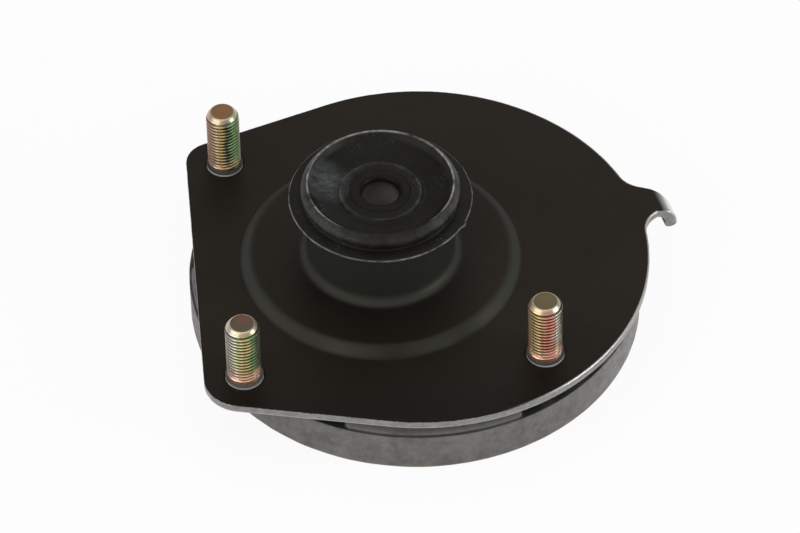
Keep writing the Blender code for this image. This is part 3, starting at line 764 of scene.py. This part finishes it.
def larger(tree, first, second):
    return maths(tree, 'MAXIMUM', first, second)


def away_from(tree, value, level):
    """How far a value is from a level."""
    return maths(tree, 'ABSOLUTE', maths(tree, 'SUBTRACT', value, level), 0.0)


def black_paint():
    """Satin paint with dust in it, chipped off the sheared edge, with painted shade towards the
    front, painted light on the neck's wall, painted highlights on the bead's slope, most at the
    sides, and on the neck's foot, and a painted highlight of polished steel down the ear's bend and
    on the edge's top corner at the right."""
    finish, tree, shader = new_finish("satin black paint")
    skin = use_group(tree, GRAIN_AND_STAIN, Grain_Scale=1300, Stain_Scale=38)
    dust = use_group(tree, DUST_SPECKS, Scale=900, Cover=0.16, Patch_Scale=45)
    height, radius = coordinate(tree, "Z"), rod_distance(tree)
    front_start, front_end = PAINT_FRONT_SHADE_SPAN
    # Painted shade: the paint darkens towards the front of the plate
    deep = ranged(tree, coordinate(tree, "Y"), -front_start, -front_end, 0.0, 0.8)
    fillet_top = BEAD_HEIGHT + NECK_FILLET
    foot = times(tree, ranged(tree, height, BEAD_HEIGHT, BEAD_HEIGHT + NECK_FILLET / 8),
                 ranged(tree, height, fillet_top, BEAD_HEIGHT + NECK_FILLET / 3))
    bead_top = BEAD_RADIUS - BEAD_SLOPE_WIDTH
    slope = times(tree, ranged(tree, radius, BEAD_RADIUS + 0.1 * MM, BEAD_RADIUS - 0.9 * MM),
                  ranged(tree, radius, bead_top - 1.1 * MM, bead_top + 0.9 * MM))
    sideways = ranged(tree, away_from(tree, coordinate(tree, "X"), 0.0), 2 * MM, 16 * MM, 0.3, 0.95)
    paint = mixed(tree, skin["Stain"], PAINT_BLACK, PAINT_DUSTY)
    # Painted shade towards the front of the plate
    paint = mixed(tree, deep, paint, PAINT_FRONT_SHADE)
    # Painted light on the neck's wall above the bead
    paint = mixed(tree, ranged(tree, height, BEAD_HEIGHT, fillet_top), paint, NECK_PAINTED_LIGHT)
    # Painted highlights on the bead's slope, stronger at the sides, and on the neck's foot
    paint = mixed(tree, larger(tree, times(tree, slope, sideways), foot), paint, SLOPE_AND_FOOT_HIGHLIGHT)
    paint = mixed(tree, times(tree, dust["Specks"], 0.4), paint, PAINT_FLECK)
    ragged = ranged(tree, cloud(tree, 700, 5.0, 0.7), 0.25, 0.75, -0.16, 0.16)
    chipped = ranged(tree, maths(tree, 'ADD', attribute(tree, "bare"), ragged), 0.45, 0.6)
    burnish_and_highlight = attribute(tree, "burnish_and_highlight")
    bare = larger(tree, chipped, burnish_and_highlight)
    steel = mixed(tree, ranged(tree, cloud(tree, 420, 6.0, 0.7), 0.35, 0.65), BARE_STEEL,
                  BARE_STEEL_DULL)
    # Polished steel of the burr, also standing in for the painted highlights on the edge and ear
    steel = mixed(tree, burnish_and_highlight, steel, POLISHED_STEEL_AND_HIGHLIGHT)
    satin = ranged(tree, skin["Grain"], 0.3, 0.7, 0.42, 0.56)
    grain = times(tree, skin["Grain"], ranged(tree, bare, 0, 1, 1.0, 0.15))
    set_inputs(tree, shader, Base_Color=mixed(tree, bare, paint, steel), Specular_IOR_Level=0.15,
               Specular_Tint=mixed(tree, bare, PAINT_SHEEN, WHITE),
               Metallic=larger(tree, times(tree, chipped, 0.6), burnish_and_highlight),
               Roughness=maths(tree, 'SUBTRACT', satin, times(tree, bare, 0.16)),
               Normal=bumped(tree, grain, 0.02 * MM))
    return finish


def make_plate(finish):
    shape = bmesh.new()
    bare, burnish_and_highlight = (shape.verts.layers.float.new(name) for name in ("bare", "burnish_and_highlight"))
    rims = [add_edge_rows(shape, bare, burnish_and_highlight)]
    top, below = add_hub(shape, hub_corners()), add_hub(shape, underside(hub_corners()))
    join_rows(shape, [top[1], below[1]])
    rims.append((top[0], below[0]))
    rims += [add_stud_hole(shape, place) for place in STUD_PLACES.values()]
    for loops in zip(*rims):
        fill_flat(shape, loops)
    bend_ear(shape, burnish_and_highlight)
    add_piece("pressed_plate", shape, finish, "mounting_plate", sharp=50)


PAINT_FINISH = black_paint()
make_plate(PAINT_FINISH)
frame["nodes"]["lower_cup"].material_slots[0].material = PAINT_FINISH


# Studs. Three M10 studs are pressed in from below: rolled thread with a pitch of 1.25 mm, a
# chamfered end, and a collar that fills the plate's hole. They are steel with yellow chromated
# zinc, which shimmers from gold to pink and green. Their colour by direction also paints the
# reflections and shade on each side, and shade is painted down in the thread's roots.

STUD_RADIUS = 5.0 * MM
STUD_HEIGHT = 22.0 * MM
STUD_LEAD = 2.1 * MM
STUD_TIP_RADIUS = 3.5 * MM
STUD_TIP_EDGE = 0.12 * MM
STUD_TURN = 80
THREAD_PITCH = 1.25 * MM
THREAD_DEPTH = 0.75 * MM
THREAD_FLAT = 0.2
THREAD_STEPS = 12
THREAD_START = 1.7 * MM
COLLAR_RADIUS = 5.6 * MM
COLLAR_HEIGHT = 0.9 * MM
COLLAR_EDGE = 0.25 * MM
STUD_HEAD_RADIUS = 7.5 * MM
STUD_HEAD_THICKNESS = 3.0 * MM
STUD_HEAD_EDGE = 0.5 * MM
CREAM = (0.74, 0.68, 0.55)
GOLD = (0.82, 0.60, 0.24)
LIME = (0.70, 0.72, 0.32)
GREEN = (0.32, 0.54, 0.22)
MOSS = (0.10, 0.14, 0.08)
PINK = (0.88, 0.50, 0.39)
RED = (0.86, 0.32, 0.22)
BROWN = (0.52, 0.38, 0.25)
CHAMFER_CREAM = (0.52, 0.44, 0.33)
FILM_THINNING = 0.12
FILM_SPECKLE = 14.0
FILM_DRIFT = 30.0
FILM_FOOT_HEIGHT = 6.0 * MM
# How quickly the painted shade in the thread's roots deepens with depth
ROOT_SHADE_SPREAD = 1.6
COLLAR_PAINT = (0.026, 0.028, 0.026, 1)
RIM_SILVER = (0.46, 0.48, 0.47, 1)
COLLAR_BRIGHT = (0.50, 0.46, 0.41, 1)
END_SPOT = Vector((0.5, 1.2)) * MM
END_SPOT_SIZE = 2.5 * MM
# The film's colours by direction, which also paint the reflections and shade on each side, its
# colour at the foot, the end face's colour and its spot's, how dark the painted shade in the
# thread's roots is, the paint's cover on the collar, and the lean in degrees
STUDS = {
    "stud_rear_left": dict(
        film_and_reflection={-190: PINK, -130: BROWN, -100: GOLD, -78: MOSS, -58: GREEN, -30: GREEN, -5: CREAM,
              80: GOLD, 170: PINK},
        foot=BROWN, end=(0.17, 0.085, 0.028), spot=(0.22, 0.10, 0.030),
        roots=0.60, paint=1.0, lean=0.0),
    "stud_front_left": dict(
        film_and_reflection={-190: CREAM, -125: CREAM, -108: LIME, -80: GOLD, -62: GREEN, -35: MOSS, 0: MOSS,
              80: GOLD, 170: CREAM},
        foot=PINK, end=(0.075, 0.052, 0.028), spot=(0.17, 0.038, 0.026),
        roots=0.86, paint=0.92, lean=0.0),
    "stud_front_right": dict(
        film_and_reflection={-190: PINK, -150: GOLD, -120: GOLD, -98: RED, -70: RED, -56: CREAM, -40: CREAM,
              -24: MOSS, 0: MOSS, 80: LIME, 170: PINK},
        foot=PINK, end=(0.10, 0.075, 0.030), spot=(0.13, 0.090, 0.038),
        roots=0.86, paint=1.0, lean=-1.8)}


def thread_radius(turn, height):
    """Radius of the rolled thread, which has flat crests and roots."""
    share = abs(2 * ((height / THREAD_PITCH - turn) % 1.0) - 1)
    rise = clamped((share - THREAD_FLAT) / (1 - 2 * THREAD_FLAT))
    runs_in = clamped((height - THREAD_START) / THREAD_PITCH)
    return STUD_RADIUS - THREAD_DEPTH * (1 - rise) * runs_in


def end_radius(height):
    """Radius of the softened chamfer at the stud's end."""
    reach = clamped((STUD_HEIGHT - height) / STUD_LEAD)
    return STUD_TIP_RADIUS + (STUD_RADIUS - STUD_TIP_RADIUS) * reach ** 0.75


def film_and_reflection_colour(point, stud):
    """Colour of the zinc's film at a point of the shank, with painted reflections and shade:
    between its bands on either side, cream on the chamfer, painted shade down in the thread, and
    stained at the foot."""
    bearing = math.degrees(math.atan2(point.y, point.x))
    angle = bearing + FILM_SPECKLE * noise.noise(point * 260)
    angle += FILM_DRIFT * noise.noise(Vector((0, 0, point.z * 190)))
    angle = (angle + 190) % 360 - 190
    bands = list(stud["film_and_reflection"].items())
    colour = Vector(bands[-1][1])
    for (start, first), (end, second) in zip(bands, bands[1:]):
        if start <= angle <= end:
            colour = Vector(first).lerp(Vector(second), (angle - start) / (end - start))
    colour = colour.lerp(Vector(CREAM), FILM_THINNING)
    on_chamfer = clamped((point.z - STUD_HEIGHT + STUD_LEAD) / (0.6 * STUD_LEAD))
    colour = colour.lerp(Vector(CHAMFER_CREAM), 0.65 * on_chamfer)
    sunk = ROOT_SHADE_SPREAD * (STUD_RADIUS - thread_radius(bearing / 360, point.z)) / THREAD_DEPTH
    fading = clamped((STUD_HEIGHT - point.z) / STUD_LEAD / 0.4 - 0.7)
    # Painted shade down in the thread's roots, fading out towards the end
    colour *= 1 - stud["roots"] * fading * math.sqrt(min(1.0, sunk))
    low = 1 - (point.z - COLLAR_HEIGHT) / FILM_FOOT_HEIGHT + 0.6 * noise.noise(point * 300)
    return colour.lerp(Vector(stud["foot"]), min(0.8, max(0.0, low)))


def stud_shape(stud):
    shape = bmesh.new()
    film_and_reflection = shape.verts.layers.float_color.new("film_and_reflection")
    painted = shape.verts.layers.float.new("painted")
    head_top = -PLATE_THICKNESS - CLEARANCE
    head_base = head_top - STUD_HEAD_THICKNESS
    below = rounded([(0, head_base), (STUD_HEAD_RADIUS, head_base, STUD_HEAD_EDGE),
                     (STUD_HEAD_RADIUS, head_top, STUD_HEAD_EDGE / 2), (COLLAR_RADIUS, head_top),
                     (COLLAR_RADIUS, COLLAR_HEIGHT, COLLAR_EDGE),
                     (STUD_RADIUS, COLLAR_HEIGHT)], closed=False)[1:]
    rows = [add_circle(shape, radius, height, STUD_TURN)
            for radius, height in spaced(below, 1 * MM, closed=False)]
    step = THREAD_PITCH / THREAD_STEPS
    count = math.floor((STUD_HEIGHT - STUD_TIP_EDGE - COLLAR_HEIGHT) / step)
    for k in range(1, count + 1):
        height = COLLAR_HEIGHT + k * step
        row = []
        for column in range(STUD_TURN):
            turn = column / STUD_TURN
            radius = min(thread_radius(turn, height), end_radius(height))
            point = radius * direction(360 * turn)
            row.append(shape.verts.new((point.x, point.y, height)))
        rows.append(row)
    rows += [add_circle(shape, radius, height, STUD_TURN)
             for radius, height in ((STUD_TIP_RADIUS - 0.02 * MM, STUD_HEIGHT - STUD_TIP_EDGE / 3),
                                    (STUD_TIP_RADIUS - STUD_TIP_EDGE, STUD_HEIGHT),
                                    (STUD_TIP_RADIUS / 2, STUD_HEIGHT))]
    for end in join_rows(shape, rows):
        shape.faces.new(end)
    for vertex in shape.verts:
        vertex[film_and_reflection] = (*film_and_reflection_colour(vertex.co, stud), 1)
        if vertex.co.z < COLLAR_HEIGHT + 0.05 * MM:
            vertex[painted] = stud["paint"]
            vertex[film_and_reflection] = COLLAR_BRIGHT
    for vertex in rows[-1] + rows[-2]:
        away = (vertex.co.xy - END_SPOT).length / END_SPOT_SIZE
        vertex[film_and_reflection] = (*Vector(stud["spot"]).lerp(Vector(stud["end"]), min(1.0, away)), 1)
    return shape


def yellow_zinc():
    """A coloured film over bright zinc, softer on the chamfer, with a dull end face, and a collar
    that the black paint covers but for its lower rim."""
    finish, tree, shader = new_finish("yellow chromated zinc")
    skin = use_group(tree, GRAIN_AND_STAIN, Grain_Scale=1600, Stain_Scale=400)
    height = coordinate(tree, "Z")
    painted = attribute(tree, "painted")
    film_and_reflection = mixed(tree, painted, attribute(tree, "film_and_reflection", "Color"), COLLAR_PAINT)
    rim = ranged(tree, height, 0.50 * COLLAR_HEIGHT, 0.40 * COLLAR_HEIGHT)
    shoulder = STUD_HEIGHT - STUD_LEAD
    chamfer = ranged(tree, height, shoulder, shoulder + 1.0 * MM, 0.0, 0.25)
    end = ranged(tree, height, STUD_HEIGHT - 0.08 * MM, STUD_HEIGHT - 0.02 * MM)
    soft = larger(tree, larger(tree, painted, end), chamfer)
    bright = ranged(tree, skin["Grain"], 0.3, 0.7, 0.26, 0.38)
    set_inputs(tree, shader, Base_Color=mixed(tree, rim, film_and_reflection, RIM_SILVER),
               Metallic=ranged(tree, soft, 0.0, 1.0, 0.94, 0.1),
               Roughness=larger(tree, bright, times(tree, soft, 0.6)))
    return finish


ZINC_FINISH = yellow_zinc()
for name, stud in STUDS.items():
    piece = add_piece("threaded_" + name, stud_shape(stud), ZINC_FINISH, name,
                      STUD_PLACES[name], sharp=25)
    piece.rotation_euler.y = math.radians(stud["lean"])


# Spring seat. A grey ring of dense rubber is moulded with a collar that grips the lower cup, a
# web for the coil, and five pads that bear on the plate. It is matt and dusty, with painted shade
# under the plate and painted light towards the right.

SEAT_CENTRE = Vector((10.55, 0.8)) * MM
SEAT_RADIUS = PLATE_RADIUS - 1.1 * MM
SEAT_TOP = -7.0 * MM
SEAT_BASE = -PLATE_TOP
SEAT_WALL = 5.0 * MM
SEAT_WEB = 6.0 * MM
SEAT_EDGE = 0.4 * MM
SEAT_COLLAR_WALL = 4.0 * MM
SEAT_COLLAR_BASE = -17.5 * MM
SEAT_LAND_RADIUS = 49.0 * MM
SEAT_LAND_TOP = -5.2 * MM
SEAT_BORE_RADIUS = 36.3 * MM
SEAT_TURN = 480
PAD_COUNT = 5
PAD_FIRST_ANGLE = -91.0
PAD_SPREAD = 46.0
PAD_OUTER_RADIUS = SEAT_RADIUS - 0.8 * MM
PAD_INNER_RADIUS = 60.4 * MM
PAD_CORNER = 2.0 * MM
# Height of the painted dark crease at the pads' feet, and the rise over which painted shade deepens
PAD_CREASE = -6.85 * MM
PAD_SHADE = 1.6 * MM
MUD_HEIGHT = 0.9 * MM
# Where dust, laid on more towards the right to paint the light that falls there, begins and is full
POWDER_AND_LIGHT_START = 54.0 * MM
POWDER_AND_LIGHT_FULL = 88.0 * MM
HEAD_POCKET_RADIUS = STUD_HEAD_RADIUS + 1.0 * MM
# Levels of a pad's sides: how far in from its foot, and height
PAD_LEVELS = ((-0.7, -7.2), (-0.35, -6.97), (-0.1, -6.75), (0.05, -6.4), (0.35, -5.6), (0.8, -4.6),
              (1.2, -3.6), (1.35, -3.2), (1.55, -3.0), (1.9, -2.9))
DUSTY_RUBBER = (0.120, 0.117, 0.113, 1)
DUSTY_RUBBER_DARK = (0.070, 0.068, 0.066, 1)
DUSTY_RUBBER_WARM = (0.200, 0.185, 0.178, 1)
DUST = (0.30, 0.295, 0.285, 1)
# Colour of the painted shade at the pads' feet and under the plate
CREASE_AND_PAD_SHADE = (0.010, 0.009, 0.008, 1)
DRIED_MUD = (0.30, 0.19, 0.11, 1)


def seat_rows():
    """Closed loop of the seat's section: (radius, height, 1 about the seat's centre or 0 about
    the rod's axis), up the bore, out over the top and back underneath."""
    web_base = SEAT_TOP - SEAT_WEB
    wall = SEAT_RADIUS - SEAT_WALL
    collar = SEAT_BORE_RADIUS + SEAT_COLLAR_WALL
    about_axis = ((collar, web_base), (collar, SEAT_COLLAR_BASE, SEAT_EDGE),
                  (SEAT_BORE_RADIUS, SEAT_COLLAR_BASE, SEAT_EDGE),
                  (SEAT_BORE_RADIUS, SEAT_LAND_TOP, SEAT_EDGE),
                  (SEAT_LAND_RADIUS, SEAT_LAND_TOP, SEAT_EDGE),
                  (SEAT_LAND_RADIUS, SEAT_TOP, SEAT_EDGE),
                  (SEAT_LAND_RADIUS + 2 * SEAT_EDGE, SEAT_TOP))
    about_seat = ((SEAT_LAND_RADIUS + 12 * MM, SEAT_TOP), (SEAT_RADIUS, SEAT_TOP, SEAT_EDGE),
                  (SEAT_RADIUS, SEAT_BASE, SEAT_EDGE), (wall, SEAT_BASE, SEAT_EDGE),
                  (wall, web_base, 4 * SEAT_EDGE), (wall - 3 * MM, web_base))
    return [(point.x, point.y, number) for number, corners in enumerate((about_axis, about_seat))
            for point in spaced(rounded(corners, closed=False), 1 * MM, closed=False)]


def clear_of_heads(point):
    """Move a point of a pad's outline out of the round pockets for the studs' heads."""
    for place in STUD_PLACES.values():
        away = point - place
        if away.length < HEAD_POCKET_RADIUS:
            point = place + away.normalized() * HEAD_POCKET_RADIUS
    return point


def pad_outline(inset, angle):
    """A pad's outline at an inset from its foot, counter-clockwise about the seat's centre."""
    outer, inner = PAD_OUTER_RADIUS - inset, PAD_INNER_RADIUS + min(inset, 0)
    narrowing = math.degrees(inset / outer)
    start, end = angle - PAD_SPREAD / 2 + narrowing, angle + PAD_SPREAD / 2 - narrowing
    corners = []
    for radius, at, side, facing in ((outer - PAD_CORNER, start, 1, start - 90),
                                     (outer - PAD_CORNER, end, -1, end),
                                     (inner + PAD_CORNER, end, -1, end + 90),
                                     (inner + PAD_CORNER, start, 1, start + 180)):
        middle = radius * direction(at + math.degrees(PAD_CORNER / radius) * side)
        corners.append(arc(middle, PAD_CORNER, facing, facing + 90, 15))
    rims = [arc(Vector((0, 0)), radius, *bearings(before[-1], after[0]), 1.0)[1:-1]
            for radius, before, after in ((outer, *corners[:2]), (inner, *corners[2:]))]
    outline = corners[0] + rims[0] + corners[1] + corners[2] + rims[1] + corners[3]
    return [clear_of_heads(SEAT_CENTRE + point) for point in outline]


def evenly(loop, count):
    """The same closed outline drawn with the given number of evenly spaced points."""
    lengths = [(loop[(k + 1) % len(loop)] - loop[k]).length for k in range(len(loop))]
    total, points, k, passed = sum(lengths), [], 0, 0.0
    for number in range(count):
        target = total * number / count
        while passed + lengths[k] < target:
            passed += lengths[k]
            k += 1
        share = (target - passed) / lengths[k] if lengths[k] else 0
        points.append(loop[k].lerp(loop[(k + 1) % len(loop)], share))
    return points


def add_pad(shape, angle):
    outlines = [pad_outline(inset * MM, angle) for inset, height in PAD_LEVELS]
    most = max(len(outline) for outline in outlines)
    rows = [[shape.verts.new((point.x, point.y, height * MM)) for point in evenly(outline, most)]
            for outline, (inset, height) in zip(outlines, PAD_LEVELS)]
    for end in join_rows(shape, rows):
        shape.faces.new(end)


def grey_rubber():
    """Mottled rubber with dust, laid on more towards the right to paint the light that falls there,
    painted shade in the crease at the pads' feet and above it under the plate, and mud along its
    base.
    """
    finish, tree, shader = new_finish("dusty grey rubber")
    skin = use_group(tree, GRAIN_AND_STAIN, Grain_Scale=1100, Stain_Scale=130)
    dust = use_group(tree, DUST_SPECKS, Scale=2600, Cover=0.40, Patch_Scale=420)
    grime, height = cloud(tree, 330, 6.0, 0.7), coordinate(tree, "Z")
    # Dust that also paints the light on the right side, growing towards the right
    powder_and_light = times(tree, ranged(tree, coordinate(tree, "X"), POWDER_AND_LIGHT_START, POWDER_AND_LIGHT_FULL, 0.0, 0.8),
                   ranged(tree, grime, 0.34, 0.6, 0.3, 1.0))
    crease = ranged(tree, away_from(tree, height, PAD_CREASE), 0.34 * MM, 0.12 * MM, 0.0, 0.9)
    shade = ranged(tree, height, PAD_CREASE, PAD_CREASE + PAD_SHADE, 0.0, 0.6)
    muddy = ranged(tree, height, SEAT_BASE + MUD_HEIGHT, SEAT_BASE + MUD_HEIGHT / 3)
    colour = mixed(tree, skin["Stain"], DUSTY_RUBBER_DARK, DUSTY_RUBBER)
    colour = mixed(tree, ranged(tree, grime, 0.38, 0.62, 0.0, 0.45), colour, DUSTY_RUBBER_WARM)
    colour = mixed(tree, powder_and_light, colour, DUST)
    colour = mixed(tree, times(tree, dust["Specks"], 0.25), colour, DUST)
    # Painted shade: the crease at the pads' feet, and darker going up under the plate
    colour = mixed(tree, larger(tree, crease, shade), colour, CREASE_AND_PAD_SHADE)
    colour = mixed(tree, times(tree, muddy, 0.6), colour, DRIED_MUD)
    set_inputs(tree, shader, Base_Color=colour,
               Roughness=ranged(tree, dust["Patches"], 0, 1, 0.5, 0.7),
               Normal=bumped(tree, skin["Grain"], 0.10 * MM))
    return finish


def make_seat():
    shape = bmesh.new()
    rows = [add_circle(shape, radius, height, SEAT_TURN, SEAT_CENTRE * about_seat)
            for radius, height, about_seat in seat_rows()]
    join_rows(shape, rows[-1:] + rows)
    for k in range(PAD_COUNT):
        add_pad(shape, PAD_FIRST_ANGLE + 360 * k / PAD_COUNT)
    roughen(shape, 0.08 * MM, 210, 7.0)
    add_piece("padded_seat", shape, grey_rubber(), "spring_seat_rubber", sharp=50)


make_seat()


# Table, lamps and camera. The mount stands on a plain white table under five soft lamps: the
# widest hangs overhead, and the brightest is at the left. The camera looks down from the front.

FLOOR_SIZE = 6.0
TABLE_DROP = 0.1 * MM
TABLE_COLOUR = (0.8, 0.8, 0.8, 1)
TABLE_GLOW = 0.92
SKY = 0.28
CAMERA_PITCH = 46.2
CAMERA_TURN = 5.75
# To the right, up and back as the camera faces, from the rod's axis at the plate's top
CAMERA_PLACE = Vector((5.76, -3.31, 1020.6)) * MM
CAMERA_LENS = 153.2
# Size in metres, brightness in watts, and place from the mount's middle in metres
LAMPS = {"right softbox": (0.35, 3.4, (0.75, -0.28, 0.26)),
         "top softbox": (1.2, 4.0, (-0.05, -0.10, 0.9)),
         "front softbox": (1.0, 0.45, (-0.2, -1.0, 0.40)),
         "left softbox": (0.9, 5.4, (-0.75, -0.45, 0.30)),
         "back softbox": (0.5, 0.6, (0.1, 0.50, 0.45))}


def white_background(tree):
    """1 for rays from the camera and in reflections, which see plain white, and 0 for others."""
    path = tree.nodes.new('ShaderNodeLightPath')
    seen = larger(tree, path.outputs["Is Camera Ray"], path.outputs["Is Glossy Ray"])
    return larger(tree, seen, path.outputs["Is Transmission Ray"])


def table_finish():
    finish, tree, shader = new_finish("white table")
    set_inputs(tree, shader, Base_Color=TABLE_COLOUR, Roughness=0.9)
    glow = add_node(tree, 'ShaderNodeEmission', {"Color": WHITE})
    mask = times(tree, white_background(tree), TABLE_GLOW)
    mix = add_node(tree, 'ShaderNodeMixShader', {0: mask, 1: shader.outputs[0], 2: glow})
    set_inputs(tree, tree.nodes["Material Output"], Surface=mix)
    return finish


def make_table():
    shape = bmesh.new()
    bmesh.ops.create_grid(shape, x_segments=1, y_segments=1, size=FLOOR_SIZE / 2)
    table = mesh_object("table", shape, table_finish())
    table.location.z = -TABLE_DROP


def light_world():
    world = bpy.data.worlds.new("studio")
    world.use_nodes = True
    tree = world.node_tree
    path = tree.nodes.new('ShaderNodeLightPath')
    set_inputs(tree, tree.nodes["Background"], Color=WHITE,
               Strength=ranged(tree, path.outputs["Is Camera Ray"], 0, 1, SKY, 1.0))
    bpy.context.scene.world = world


def hang_lamps():
    for name, (size, watts, place) in LAMPS.items():
        lamp = bpy.data.lights.new(name, 'AREA')
        lamp.size = size
        lamp.energy = watts
        hung = placed(name, lamp)
        hung.location = place
        hung.rotation_euler = (-Vector(place)).to_track_quat('-Z', 'Y').to_euler()


def set_up_camera():
    data = bpy.data.cameras.new("camera")
    data.lens = CAMERA_LENS
    data.clip_end = 10
    camera = placed("camera", data)
    camera.matrix_world = (Matrix.Translation(ROD_AXIS)
                           @ Matrix.Rotation(-math.radians(CAMERA_TURN), 4, 'Z')
                           @ Matrix.Rotation(math.radians(90 - CAMERA_PITCH), 4, 'X')
                           @ Matrix.Translation(CAMERA_PLACE))
    bpy.context.scene.camera = camera


make_table()
light_world()
hang_lamps()
set_up_camera()
bpy.context.scene.view_settings.view_transform = 'Standard'
